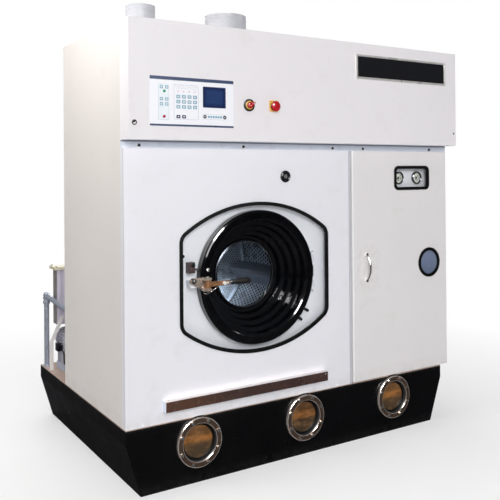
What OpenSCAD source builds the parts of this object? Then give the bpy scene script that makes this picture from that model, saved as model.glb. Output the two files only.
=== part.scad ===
// Dry cleaning machine: solvent tank, cabinet, drum behind a round loading door, service door and rear plant.
// X runs to the right, Y to the back and Z up; the origin is the centre of the face that stands on the floor.

/* [Cabinet] */
// Width over the hood
cabinet_w = 1886; // [1840:1:2000]
// Depth of the side panels, from the front face back
cabinet_d = 782; // [775:1:800]
// Height of the roof over the floor
cabinet_h = 1958; // [1900:1:2100]
// Height of the hood's lower edge
hood_bottom = 1464; // [1450:1:1480]
// How far the hood stands out from the front panel
hood_reach = 53; // [40:1:80]
// How far the side panels' front edges lie behind the front
side_setback = 39; // [30:1:41]
// Thickness of the sheet metal
sheet = 1.5; // [1:0.1:2]
// Depth of the folds at the edges of the panels
fold = 19; // [12:0.5:19]
// Width of the front panel
front_w = 1190; // [1150:1:1190]
// Gap between the front panel and the service door
seam = 10; // [5:1:12]
// Height of the recessed strip between the front panel and the hood
strip_h = 33.5; // [25:0.5:40]
// Size of the square frame tubes
tube = 40; // [30:1:40]
// Radius of the panel screws' heads
screw_r = 5; // [3:0.5:7]

/* [Tank] */
// Height of the tank with its deck
tank_h = 283; // [270:1:300]
// Depth of the tank
tank_d = 1214; // [1190:1:1300]
// Distance of the tank's right side from the right side of the cabinet
tank_inset = 78.5; // [50:0.5:90]
// Height of the upright band under the deck
band_h = 63; // [40:1:80]
// How far the left foot lies inside the upright band
foot_l = 65; // [30:1:80]
// How far the right foot lies inside the upright band
foot_r = 78.5; // [30:0.5:90]
// Thickness of the tank's plates
tank_wall = 5; // [3:0.5:8]
// Thickness of the deck plate
deck_t = 4; // [3:0.5:6]

/* [Sight ports] */
// Number of sight ports
ports = 3; // [1:1:3]
// Place of the first port from the left side
port_x = 335; // [300:1:360]
// Distance between ports
port_pitch = 562.5; // [300:0.5:580]
// Height of the ports' centres
port_z = 172; // [165:1:175]
// Outer radius of the flange
port_r = 107; // [100:1:108]
// Inner radius of the sight tube
port_bore = 79; // [70:1:80]
// Thickness of the flange
port_t = 14; // [10:1:18]
// Number of bolts in a flange
port_bolts = 8; // [6:1:10]

/* [Loading door] */
// Place of the door's centre from the left side
door_x = 646; // [640:1:660]
// Height of the door's centre
door_z = 854; // [845:1:860]
// Outer radius of the door ring
ring_r = 303; // [295:1:304]
// How far the ring's face stands in front of the front panel
ring_face = 14; // [8:1:20]
// Thickness of the ring's outer wall
ring_t = 42; // [38:1:44]
// Depth of the funnel behind the ring's face
funnel_d = 148; // [130:1:150]
// Radius of the clear opening at the glass
view_r = 150; // [130:1:155]
// Thickness of the round glass
glass_t = 6; // [5:0.5:8]

/* [Cut-out] */
// Half width of the cut-out in the front panel
cut_w = 391; // [385:1:400]
// Half height of the cut-out
cut_h = 332; // [325:1:340]
// Radius of the arched top and bottom
cut_arc = 632; // [600:1:700]
// Radius of the four corners
cut_fillet = 52; // [40:1:70]
// Half width of the rubber edging
edging = 8; // [5:0.5:9]
// Depth of the recessed plate behind the front face
recess = 34; // [32:1:36]
// Radius of the mouth in the recessed plate
mouth_r = 272; // [270:0.5:274]

/* [Drum] */
// Outer radius of the tub
tub_r = 375; // [365:1:385]
// Back of the tub behind the front face
tub_back = 745; // [740:1:750]
// Outer radius of the drum
drum_r = 340; // [330:1:350]
// Front of the drum behind the front face
drum_front = 150; // [148:1:160]
// Back of the drum
drum_back = 700; // [690:1:715]
// Wall of the drum and of the tub
drum_wall = 3; // [2:0.5:4]
// Radius of the drum's own mouth
drum_mouth = 285; // [275:1:300]
// Number of lifter ribs
lifters = 3; // [2:1:4]
// Angle of the first lifter from the level at rest
lifter_turn = -12; // [-30:1:30]
// Height of a lifter rib
lifter_h = 75; // [50:1:90]
// Radius of the drum shaft
shaft_r = 25; // [20:1:30]
// Radial clearance of shafts and pins in their bores
run_gap = 0.05; // [0.02:0.01:0.1]
// Clearance between pieces that only lie near each other
near_gap = 0.3; // [0.2:0.05:0.5]

/* [Drive] */
// Radius of the drum pulley
pulley_r = 250; // [200:1:280]
// Radius of the motor pulley
pinion_r = 60; // [45:1:75]
// Width of the belt
belt_w = 36; // [25:1:40]
// Thickness of the belt
belt_t = 6; // [4:0.5:8]
// Place of the motor from the left side
motor_x = 1120; // [1080:1:1150]
// Height of the motor shaft over the deck
motor_rise = 150; // [130:1:180]
// Radius of the motor's body
motor_r = 92; // [80:1:100]
// Length of the motor's body
motor_l = 250; // [200:1:270]

/* [Service door] */
// Distance of the door's free right edge from the right side of the cabinet
door_inset = 26; // [25.5:0.1:28]
// Depth of the door's folds
door_fold = 19; // [16:0.5:19]
// Distance of the gauge window's centre from the right side of the cabinet
window_inset = 279; // [270:1:296]
// Height of the gauge window's centre
window_z = 1293.5; // [1280:0.5:1310]
// Width of the opening in the door for the gauge window
window_w = 235; // [220:1:240]
// Height of the opening for the gauge window
window_h = 110; // [100:1:120]
// Radius of the opening's corners
window_r = 20; // [15:1:30]
// Distance between the two gauges
gauge_pitch = 130; // [110:1:140]
// Radius of a gauge
gauge_r = 31.5; // [25:0.5:35]
// Depth of the gauge plate behind the door's face
gauge_depth = 36; // [34:1:40]
// Distance of the porthole's centre from the right side of the cabinet
porthole_inset = 157; // [146:1:186]
// Height of the porthole's centre
porthole_z = 843; // [830:1:860]
// Radius of the opening for the porthole
porthole_r = 70; // [60:1:75]
// Distance of the bow handle from the left edge of the door
handle_inset = 93; // [60:1:110]
// Height of the bow handle's middle
handle_z = 846; // [820:1:870]
// Distance between the handle's feet
handle_l = 128; // [100:1:160]
// How far the handle's centre line stands off the door
handle_reach = 28; // [24:1:35]
// Radius of the handle's rod
handle_r = 5; // [4:0.5:6]
// Heights of the door hinges
hinge_heights = [450, 1270];
// Radius of the hinge pins
pin_r = 3; // [2:0.5:4]
// Radius of the hinge knuckles
knuckle_r = 5.5; // [5:0.1:5.8]

/* [Control panel] */
// Left edge of the control overlay
overlay_x = 91; // [80:1:100]
// Lower edge of the control overlay
overlay_z = 1520; // [1510:1:1530]
// Width of the control overlay
overlay_w = 396; // [390:1:410]
// Height of the control overlay
overlay_h = 206; // [200:1:215]
// Thickness of the control overlay
overlay_t = 1.5; // [1:0.5:2]
// Width of the display
display_w = 108; // [100:1:112]
// Height of the display
display_h = 85; // [80:1:90]
// Radius of the start and stop buttons
button_r = 6; // [5:0.5:7]
// Travel of the start and stop buttons
button_travel = 1.5; // [1:0.1:2]
// Place of the main switch from the left side
switch_x = 567; // [550:1:600]
// Place of the emergency stop from the left side
estop_x = 698; // [680:1:720]
// Height of both switches
switch_z = 1624; // [1600:1:1650]
// Travel of the emergency stop
estop_travel = 5; // [4:0.5:6]
// Width of the bare name plate
plate_w = 618; // [500:1:640]
// Height of the bare name plate
plate_h = 120; // [100:1:130]
// Distance of the name plate's middle from the right side of the cabinet
plate_inset = 390; // [330:1:420]
// Distance of the name plate's lower edge from the roof
plate_drop = 175; // [140:1:300]

/* [Bar and lock] */
// Length of the protective bar
bar_l = 851; // [800:1:880]
// Height of the bar
bar_h = 44.5; // [35:0.5:50]
// How far the bar stands out
bar_t = 30; // [20:1:35]
// Radius of the lock's black ring
lock_r = 27; // [22:0.5:30]

/* [Ducts and rear plant] */
// Radius of the left duct collar
duct_r_left = 66; // [55:1:80]
// Radius of the right duct collar
duct_r_right = 100; // [80:1:110]
// Height of the duct collars over the roof
duct_h = 127; // [80:1:150]
// Radius of the riser pipe
riser_r = 13.5; // [10:0.5:15]
// Height of the riser pipe's elbow over the floor
riser_top = 668; // [650:1:700]
// Width of the condenser box
cooler_w = 420; // [350:1:450]
// Height of the condenser box
cooler_h = 295; // [250:1:320]
// Place of the pump from the left side
pump_x = 112; // [110:1:130]
// Length of the pump's motor
pump_l = 95; // [80:1:110]
// Radius of the pump's motor
pump_r = 48; // [40:1:52]
// Radius of the pump's volute
volute_r = 62; // [55:1:64]
// Place of the filter vessel from the left side
filter_x = 1560; // [1450:1:1620]
// Height of the filter vessel's top
filter_top = 1150; // [1000:1:1200]
// Height of the still's top
still_top = 1180; // [1100:1:1250]
// Height of the vessels' bottoms over the deck
vessel_rise = 90; // [80:1:150]
// Radius of the filter vessel
filter_r = 120; // [100:1:130]
// Radius of the still
still_r = 170; // [140:1:175]

/* [Hidden] */
$fn = 64;
front_h = hood_bottom - strip_h;            // top of the front panel and of the service door
deck_z = tank_h;                            // top of the deck
tank_right = cabinet_w - tank_inset;
base_x = (foot_l + tank_right - foot_r) / 2; // centre of the face on the floor
base_y = tank_d / 2;
hood_face = -hood_reach;
door_left = front_w + seam;
door_right = cabinet_w - door_inset;
post_y = 42;                                // front of the frame posts
strip_y = 20;                               // front of the recessed strip
plate_t = 4;                                // thickness of the recessed plate
face_y = -ring_face;                        // face of the door ring
ring_back = face_y + ring_t;
funnel_back = face_y + funnel_d;
glass_y = funnel_back - glass_t - 2;
hinge_x = door_x + ring_r + 17;             // axis of the loading door
hinge_y = 20;
hinge_pin_r = 5;
hinge_knuckle_r = 9;
hinge_spread = 60;
service_x = door_right + 6;                 // axis of the service door
service_y = 14;
knuckle_l = 24;
latch_x = hinge_x - 2 * ring_r + 3;         // pivot of the latch lever
latch_y = face_y - 26;
latch_z = door_z - 4;
latch_hub = 13;
pulley_y = cabinet_d + 70;                   // front of both pulleys, behind the rear panel
pulley_back = pulley_y + belt_w + 8;
motor_z = deck_z + motor_rise;
motor_y = pulley_back + 29;
duct_y = 283;
duct_x_left = 199;
overlay_face = hood_face - overlay_t;
bar_x = 165;
bar_z = 332.5;
lock_x = 797;
lock_z = 1307.5;
plate_x = cabinet_w - plate_inset;
plate_z = cabinet_h - plate_drop;
window_x = cabinet_w - window_inset;
porthole_x = cabinet_w - porthole_inset;
handle_x = door_left + handle_inset;
lug_z = [-84, -36, 36, 84];                 // knuckles of the loading door's fixed hinge
cooler_x = 48;
cooler_y = tank_d - 149;
cooler_z0 = deck_z + 237;
cooler_z1 = cooler_z0 + cooler_h;
pump_y = cabinet_d + 138;                   // front of the pump's inlet
pump_z = deck_z + 157;
filter_y = cabinet_d + 218;
still_y = 330;
cover_at = [301, -213];                     // round cover on the recessed plate, from the door's centre
cover_r = 38;
saddle_t = 40;                              // the two saddles under the tub
saddle_w = 500;
saddle_y = [recess + 116, tub_back - 145];
display_x = overlay_x + 247;
display_z = overlay_z + 86;
start_at = [overlay_x + 65, overlay_z + 144];
stop_at = [overlay_x + 64, overlay_z + 40];

// ---- shared shapes, in coordinates from the left front corner at the floor ----
module machine(colour) { color(colour) translate([-base_x, -base_y, 0]) children(); }
// Box from one corner to the opposite one
module block(low, high) { translate(low) cube(high - low); }
// Round bar along Y
module rod_y(x, z, y0, y1, r) { translate([x, y0, z]) rotate([-90, 0, 0]) cylinder(h = y1 - y0, r = r); }
// Round bar along Z
module rod_z(x, y, z0, z1, r) { translate([x, y, z0]) cylinder(h = z1 - z0, r = r); }
// Round bar along X
module rod_x(y, z, x0, x1, r) { translate([x0, y, z]) rotate([0, 90, 0]) cylinder(h = x1 - x0, r = r); }
// Profile of [radius, y] turned about a line along Y
module turned_y(x, z) { translate([x, 0, z]) rotate([-90, 0, 0]) rotate_extrude($fn = 96) children(); }
// Profile of [radius, z] turned about a line along Z
module turned_z(x, y) { translate([x, y, 0]) rotate_extrude($fn = 96) children(); }
// Outline in X and Z given a thickness from y0 to y1
module slab(y0, y1) { translate([0, y1, 0]) rotate([90, 0, 0]) linear_extrude(y1 - y0) children(); }
// Rounded rectangle about its centre
module rounded(w, h, r) {
    square([w - 2 * r, h], center = true);
    square([w, h - 2 * r], center = true);
    for (sx = [-1, 1], sz = [-1, 1]) translate([sx * (w / 2 - r), sz * (h / 2 - r)]) circle(r);
}
// Outline of the cut-out, grown by d: upright sides, arched top and bottom, round corners
module barrel(d) {
    w = cut_w + d;
    h = cut_h + d;
    f = cut_fillet + d;
    big = cut_arc + d;
    rise = big - h;                                        // how far the arc's centre lies past the middle
    fz = sqrt(pow(big - f, 2) - pow(w - f, 2)) - rise;     // height of the corner's centre
    tx = (w - f) * big / (big - f);                        // where the corner meets the arch
    tz = (fz + rise) * big / (big - f) - rise;
    translate([door_x, door_z]) {
        polygon([[w, -fz], [w, fz], [tx, tz], [-tx, tz], [-w, fz], [-w, -fz], [-tx, -tz], [tx, -tz]]);
        for (sx = [-1, 1], sz = [-1, 1]) translate([sx * (w - f), sz * fz]) circle(f);
        for (side = [0, 1]) mirror([0, side]) intersection() {
            translate([0, -rise]) circle(big, $fn = 128);
            translate([-tx, 0]) square([2 * tx, h]);
        }
    }
}
// Cross-section of the tank, drawn in from its outside by d
module tank_section(d) {
    polygon([[foot_l + d, d], [tank_right - foot_r - d, d], [tank_right - d, tank_h - band_h],
        [tank_right - d, tank_h - deck_t], [d, tank_h - deck_t], [d, tank_h - band_h]]);
}
function port_at(i) = port_x + i * port_pitch;
// Copies on a circle about a line along Y
module ring_y(x, z, r, n) {
    for (i = [0 : n - 1]) translate([x, 0, z]) rotate([0, 360 * (i + 0.5) / n, 0]) translate([r, 0, 0]) children();
}
// Rubber edging that grips the edge of a sheet: front lip and web, from two outlines
module edging_strip(back) {
    slab(-4, -near_gap) difference() {
        children(0);
        children(2);
    }
    slab(-near_gap - 0.1, back) difference() {
        children(1);
        children(2);
    }
}

// ---- tank ----
module solvent_tank() machine("#0c0b10") difference() {
    slab(0, tank_d) tank_section(0);
    slab(tank_wall, tank_d - tank_wall) {
        tank_section(tank_wall);
        translate([tank_wall, tank_h - band_h]) square([tank_right - 2 * tank_wall, band_h]);
    }
    for (i = [0 : ports - 1]) rod_y(port_at(i), port_z, -1, tank_wall + 1, port_bore + 5 + near_gap);
}
module tank_deck() machine("#b09a8c") block([0, 0, tank_h - deck_t], [tank_right, tank_d, tank_h]);
module sight_port_flanges() machine("#b9b6ae") for (i = [0 : ports - 1]) difference() {
    turned_y(port_at(i), port_z) polygon([[port_bore, -port_t + 4], [port_bore + 4, -port_t], [port_r - 2, -port_t],
        [port_r, -port_t + 2], [port_r, 0], [port_bore + 5, 0], [port_bore + 5, 45], [port_bore - 6, 45],
        [port_bore - 6, 20], [port_bore, 20]]);
    ring_y(port_at(i), port_z, (port_r + port_bore + 4) / 2, port_bolts) rod_y(0, 0, -port_t - 1, 1, 4.3);
}
module sight_port_glasses() machine("#5b4a33") for (i = [0 : ports - 1])
    rod_y(port_at(i), port_z, 20 - near_gap - 12, 20 - near_gap, port_bore - near_gap);
module sight_port_bolts() machine("#d0cec8") for (i = [0 : ports - 1])
    ring_y(port_at(i), port_z, (port_r + port_bore + 4) / 2, port_bolts) {
        translate([0, -port_t - 6, 0]) rotate([-90, 0, 0]) cylinder(h = 6, r = 7.5, $fn = 6);
        rod_y(0, 0, -port_t - 0.1, -0.5, 4);
    }

// ---- cabinet ----
module frame_posts() machine("#c9ccd2") {
    top = cabinet_h - 4;
    for (x = [3, cabinet_w - 3 - tube]) block([x, cabinet_d - 2 - tube, deck_z], [x + tube, cabinet_d - 2, top]);
    block([3, post_y, deck_z], [3 + tube, post_y + tube, top]);
    block([front_w - 18, post_y, deck_z], [front_w - 18 + tube, post_y + tube, hood_bottom]);
    block([door_right + 3, 24, deck_z], [cabinet_w - 2, 64, top]);
}
module frame_rails() machine("#aab0bd") {
    z1 = cabinet_h - 4;
    z0 = z1 - tube;
    left = 3 + tube + near_gap;
    rear = cabinet_d - 2 - tube;
    block([2, strip_y, hood_bottom - tube], [door_right + 2.5, post_y, hood_bottom - near_gap]);
    block([left, post_y, z0], [door_right + 3, post_y + tube, z1]);
    block([left, rear, z0], [cabinet_w - 3 - tube, cabinet_d - 2, z1]);
    block([3, post_y + tube, z0], [3 + tube, rear, z1]);
    block([door_right + 3 + near_gap, 64, z0], [cabinet_w - 3, rear, z1]);
}
// Left side panel with its front and rear folds
module side_sheet() {
    block([0, side_setback, deck_z], [sheet, cabinet_d, cabinet_h]);
    block([0, side_setback, deck_z], [fold, side_setback + sheet, hood_bottom - tube - near_gap]);
    block([0, cabinet_d - sheet, deck_z], [fold, cabinet_d, cabinet_h - sheet - near_gap]);
}
module left_side_panel() machine("#efeceb") side_sheet();
module right_side_panel() machine("#efeceb") difference() {
    translate([cabinet_w, 0, 0]) mirror([1, 0, 0]) side_sheet();
    block([door_right - 1, side_setback - 1, deck_z - 1], [cabinet_w - sheet, side_setback + sheet + 1, cabinet_h]);
}
module rear_panel() machine("#e6e2e0") difference() {
    block([fold + near_gap, cabinet_d - sheet, deck_z],
        [cabinet_w - fold - near_gap, cabinet_d, cabinet_h - sheet - near_gap]);
    rod_y(door_x, door_z, cabinet_d - 5, cabinet_d + 5, 76);
    for (x = [1300 : 220 : 1520], i = [0 : 7])
        translate([0, 0, 1500 + i * 40]) slab(cabinet_d - 5, cabinet_d + 5) translate([x + 80, 0]) rounded(160, 12, 5.9);
}
module control_hood() machine("#ebe8ea") difference() {
    union() {
        block([0, hood_face, hood_bottom], [cabinet_w, hood_face + sheet, cabinet_h]);
        block([0, hood_face, hood_bottom], [sheet, side_setback - near_gap, cabinet_h]);
        block([cabinet_w - sheet, hood_face, hood_bottom], [cabinet_w, side_setback - near_gap, cabinet_h]);
        block([0, hood_face, hood_bottom], [cabinet_w, strip_y - near_gap, hood_bottom + sheet]);
        block([0, hood_face, cabinet_h - sheet], [cabinet_w, side_setback - near_gap, cabinet_h]);
        block([sheet + near_gap, hood_face, cabinet_h - sheet],
            [cabinet_w - sheet - near_gap, cabinet_d, cabinet_h]);
    }
    rod_y(switch_x, switch_z, hood_face - 1, hood_face + 3, 11 + near_gap);
    rod_y(estop_x, switch_z, hood_face - 1, hood_face + 3, 11 + near_gap);
    for (at = [start_at, stop_at]) rod_y(at[0], at[1], hood_face - 1, hood_face + 3, button_r + near_gap);
    rod_z(duct_x_left, duct_y, cabinet_h - 3, cabinet_h + 1, duct_r_left - 2);
    rod_z(door_x, duct_y, cabinet_h - 3, cabinet_h + 1, duct_r_right - 2);
}
bottom_screws = [75, 582, front_w - 95];
strip_screws = concat(bottom_screws, [door_left + 90, door_right - 103]);
strip_screw_z = front_h + 13;
module front_panel() machine("#e8e7ec") difference() {
    union() {
        slab(0, sheet) translate([0, deck_z]) square([front_w, front_h - deck_z]);
        block([0, 0, deck_z], [sheet, side_setback - near_gap, front_h]);
        block([front_w - sheet, 0, deck_z], [front_w, door_fold, front_h]);
        block([0, 0, front_h - sheet], [front_w, fold, front_h]);
        block([0, 0, deck_z], [front_w, fold, deck_z + sheet]);
    }
    slab(-1, sheet + 1) barrel(0);
    rod_y(lock_x, lock_z, -1, sheet + 1, lock_r - 7.5);
    for (x = bottom_screws) rod_y(x, deck_z + 8, -1, sheet + 1, screw_r / 2 + near_gap);
}
// Screws: heads on the strip and at the foot of the front panel, each with its shank
module panel_screws() machine("#55585f") {
    for (x = strip_screws) rod_y(x, strip_screw_z, strip_y - 2.5, strip_y, screw_r);
    for (x = bottom_screws) {
        rod_y(x, deck_z + 8, -2.5, 0, screw_r);
        rod_y(x, deck_z + 8, -0.1, 6, screw_r / 2);
    }
}
module bumper_bar() machine("#5a4540") difference() {
    block([bar_x, -bar_t, bar_z], [bar_x + bar_l, 0, bar_z + bar_h]);
    block([bar_x + 3, -bar_t + 3, bar_z + 3], [bar_x + bar_l - 3, 1, bar_z + bar_h - 3]);
}
module name_plate() machine("#16161a") difference() {
    rim = 8;
    block([plate_x - plate_w / 2, hood_face - 3.5, plate_z], [plate_x + plate_w / 2, hood_face, plate_z + plate_h]);
    block([plate_x - plate_w / 2 + rim, hood_face - 5, plate_z + rim],
        [plate_x + plate_w / 2 - rim, hood_face - 2.5, plate_z + plate_h - rim]);
}
module cutout_edging() machine("#101012") edging_strip(sheet + 4) {
    barrel(edging);
    barrel(-near_gap);
    barrel(-edging);
}
module lock_ring() machine("#121214") difference() {
    rod_y(lock_x, lock_z, -5, 0, lock_r);
    rod_y(lock_x, lock_z, -6, 1, lock_r - 8);
}
module lock_barrel() machine("#3a3a3e") difference() {
    rod_y(lock_x, lock_z, -4, 22, lock_r - 8 - near_gap);
    block([lock_x - 1.5, -5, lock_z - 7], [lock_x + 1.5, -1, lock_z + 7]);
}

// ---- tub, drum and drive ----
module recessed_plate() machine("#e4e5ea") {
    difference() {
        union() {
            slab(recess, recess + plate_t) barrel(14);
            rod_y(door_x + cover_at[0], door_z + cover_at[1], recess - 2, recess + 0.5, cover_r);
        }
        rod_y(door_x, door_z, recess - 4, recess + plate_t + 1, mouth_r);
    }
    // keeper post behind the nose of the latch
    block([latch_x - 70, face_y + near_gap, latch_z - 15], [latch_x - 30, recess + 0.5, latch_z + 15]);
}
module outer_tub() machine("#9aa0a8") {
    front = recess + 12;
    inside = tub_r - drum_wall;
    turned_y(door_x, door_z) polygon([[mouth_r, recess + plate_t], [mouth_r + 8, recess + plate_t], [mouth_r + 8, front],
        [tub_r, front], [tub_r, tub_back], [62, tub_back], [62, tub_back - drum_wall], [inside, tub_back - drum_wall],
        [inside, front + drum_wall], [mouth_r, front + drum_wall]]);
    // saddles that stand on the deck
    for (y = saddle_y) difference() {
        block([door_x - saddle_w / 2, y, deck_z], [door_x + saddle_w / 2, y + saddle_t, door_z - tub_r * 0.4]);
        rod_y(door_x, door_z, y - 1, y + saddle_t + 1, tub_r - 1);
    }
}
module drum() machine("#a9afb8") {
    inside = drum_r - drum_wall;
    turned_y(door_x, door_z) polygon([[drum_mouth, drum_front], [drum_r, drum_front], [drum_r, drum_back],
        [shaft_r + 1, drum_back], [shaft_r + 1, drum_back - drum_wall], [inside, drum_back - drum_wall],
        [inside, drum_front + drum_wall], [drum_mouth, drum_front + drum_wall]]);
}
// Ribs folded from sheet, open towards the drum's wall
module drum_lifters() machine("#c3c8cf") intersection() {
    inner = drum_r - drum_wall - near_gap;
    tip = inner - lifter_h;
    for (i = [0 : lifters - 1])
        slab(drum_front + 10, drum_back - 10) translate([door_x, door_z]) rotate(lifter_turn + 360 * i / lifters)
            difference() {
            polygon([[drum_r + 20, -70], [drum_r + 20, 70], [tip + 6, 14], [tip, 8], [tip, -8], [tip + 6, -14]]);
            polygon([[drum_r + 21, -67], [drum_r + 21, 67], [tip + 8, 11], [tip + 3, 6], [tip + 3, -6], [tip + 8, -11]]);
        }
    rod_y(door_x, door_z, drum_front, drum_back, inner);
}
module drum_shaft() machine("#b5b8bd") {
    rod_y(door_x, door_z, drum_back - drum_wall - 12, pulley_back + 8, shaft_r);
    rod_y(door_x, door_z, drum_back, drum_back + 12, 90);
}
module bearing_housing() machine("#6d7178") difference() {
    union() {
        rod_y(door_x, door_z, tub_back, tub_back + 12, 112);
        rod_y(door_x, door_z, tub_back, pulley_y - 8, 60);
        ring_y(door_x, door_z, 50, 6) block([0, tub_back + 11, -4], [54, tub_back + 34, 4]);
    }
    rod_y(door_x, door_z, tub_back - 1, pulley_y, shaft_r + run_gap);
}
module drum_pulley() machine("#50545b") difference() {
    union() {
        turned_y(door_x, door_z) translate([pulley_r - 16, pulley_y]) square([16, pulley_back - pulley_y]);
        rod_y(door_x, door_z, pulley_y + 16, pulley_y + 26, pulley_r - 10);
        rod_y(door_x, door_z, pulley_y, pulley_back, 46);
    }
    rod_y(door_x, door_z, pulley_y - 1, pulley_back + 1, shaft_r + run_gap);
    ring_y(door_x, door_z, (pulley_r + 30) / 2, 5) rod_y(0, 0, pulley_y, pulley_back, (pulley_r - 62) / 2 - 20);
}
// Outline of the belt round both pulleys, grown by d
module belt_outline(d) {
    a = [door_x, door_z];
    b = [motor_x, motor_z];
    gap = b - a;
    reach = norm(gap);
    ra = pulley_r + d;
    rb = pinion_r + d;
    lean = acos((ra - rb) / reach);
    head = atan2(gap[1], gap[0]);
    u1 = [cos(head + lean), sin(head + lean)];
    u2 = [cos(head - lean), sin(head - lean)];
    translate(a) circle(ra, $fn = 128);
    translate(b) circle(rb);
    polygon([a + ra * u1, a + ra * u2, b + rb * u2, b + rb * u1]);
}
module drive_belt() machine("#1b1b1d") slab(pulley_y + 4, pulley_y + 4 + belt_w) difference() {
    belt_outline(near_gap + belt_t);
    belt_outline(near_gap);
}
module motor_pulley() machine("#50545b") {
    rod_y(motor_x, motor_z, pulley_y, pulley_back, pinion_r);
    rod_y(motor_x, motor_z, pulley_back - 1, motor_y + 40, 14);
}
module drive_motor() machine("#5d7386") difference() {
    union() {
        rod_y(motor_x, motor_z, motor_y, motor_y + motor_l, motor_r - 12);
        rod_y(motor_x, motor_z, motor_y, motor_y + 18, motor_r);
        rod_y(motor_x, motor_z, motor_y + motor_l - 50, motor_y + motor_l, motor_r);
        ring_y(motor_x, motor_z, motor_r - 20, 24) block([0, motor_y + 17, -1.5], [20, motor_y + motor_l - 49, 1.5]);
        block([motor_x - 90, motor_y + 40, deck_z], [motor_x + 90, motor_y + 180, deck_z + 12]);
        for (x = [-70, 58]) block([motor_x + x, motor_y + 40, deck_z], [motor_x + x + 12, motor_y + 180, motor_z - 30]);
    }
    rod_y(motor_x, motor_z, motor_y - 1, motor_y + 41, 14 + run_gap);
}

// ---- loading door ----
module loading_door() machine("#0e0e10") {
    lip = view_r + 15;
    foot = lip + 27;
    throat = mouth_r - 8;
    step = (throat - 8 - view_r - 8) / 4;
    rise = (funnel_back - 12 - face_y - 8) / 4;
    seat = glass_y - near_gap;
    turned_y(door_x, door_z) polygon([[throat + 4, face_y], [ring_r - 9, face_y], [ring_r - 3, face_y + 3], [ring_r, face_y + 9],
        [ring_r, ring_back], [throat, ring_back], [throat, ring_back + 8], [foot, funnel_back], [lip, funnel_back],
        [lip, seat], [view_r, seat], [view_r, glass_y - 6],
        // four steps of the funnel, from the glass to the face
        for (i = [3 : -1 : 0], k = [0 : 2]) [throat - 8 - step * i - [step - 2, 6, 0][k],
            face_y + 8 + rise * i + [rise, rise - 7, 0][k]],
        [throat, face_y + 4]]);
    // lugs that carry the ring on its hinge pin
    for (z = [door_z - hinge_spread, door_z + hinge_spread]) difference() {
        union() {
            block([door_x + ring_r - 14, hinge_y - 8, z - 14], [hinge_x, hinge_y + 7, z + 14]);
            rod_z(hinge_x, hinge_y, z - 14, z + 14, hinge_knuckle_r);
        }
        rod_z(hinge_x, hinge_y, door_z - 100, door_z + 100, hinge_pin_r + run_gap);
    }
}
module door_glass() machine([0.5, 0.55, 0.6, 0.5])
    rod_y(door_x, door_z, glass_y, glass_y + glass_t, view_r + 15 - near_gap);
module door_gasket() machine("#18181a") turned_y(door_x, door_z)
    translate([mouth_r + 4, ring_back + near_gap]) square([16, recess - ring_back - near_gap]);
module door_hinge_bracket() machine("#2a2b2f") difference() {
    union() {
        for (z = lug_z) {
            rod_z(hinge_x, hinge_y, door_z + z - 9, door_z + z + 9, hinge_knuckle_r);
            block([hinge_x - 9, hinge_y, door_z + z - 9], [hinge_x + 9, recess - 3, door_z + z + 9]);
        }
        block([hinge_x - 9, recess - 4, door_z - 93], [hinge_x + 9, recess, door_z + 93]);
    }
    rod_z(hinge_x, hinge_y, door_z - 100, door_z + 100, hinge_pin_r + run_gap);
}
module hinge_pins() machine("#9b9ea3") {
    rod_z(hinge_x, hinge_y, door_z - 96, door_z + 96, hinge_pin_r);
    for (z = hinge_heights) rod_z(service_x, service_y, z - 1.5 * knuckle_l - 4, z + 1.5 * knuckle_l + 4, pin_r);
}
module latch_bracket() machine("#a8a6a0") {
    // forged plate that narrows towards its free end
    slab(face_y - 10, face_y) translate([latch_x, latch_z]) polygon([[-76, 9], [-75, 19], [-68, 26], [-58, 28], [14, 26],
        [14, -28], [-14, -28], [-34, -18], [-58, -3], [-70, 1]]);
    for (z = [-28, 18])
        block([latch_x - 22, latch_y - 12, latch_z + z], [latch_x + 12, face_y - 9, latch_z + z + 10]);
    rod_z(latch_x, latch_y, latch_z - 27, latch_z + 27, 5);
}
module latch_lever() machine("#c98f4c") difference() {
    union() {
        rod_z(latch_x, latch_y, latch_z - 17, latch_z + 17, latch_hub);
        slab(latch_y - 5, latch_y + 5) translate([latch_x, latch_z])
            polygon([[0, -11], [70, -9], [106, -7], [106, 7], [70, 9], [0, 11]]);
        rod_x(latch_y, latch_z, latch_x + 100, latch_x + 128, 5);
    }
    rod_z(latch_x, latch_y, latch_z - 18, latch_z + 18, 5 + run_gap);
}
module latch_grip() machine("#151515") difference() {
    rod_x(latch_y, latch_z, latch_x + 112, latch_x + 214, 12);
    rod_x(latch_y, latch_z, latch_x + 111, latch_x + 128 + near_gap, 5 + run_gap);
}
module interlock_switch() machine("#4b3739") {
    block([door_x - 352, 2, door_z + 42], [door_x - 323, recess, door_z + 88]);
    rod_x(16, door_z + 56, door_x - 324, door_x - 303, 4);
}

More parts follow.
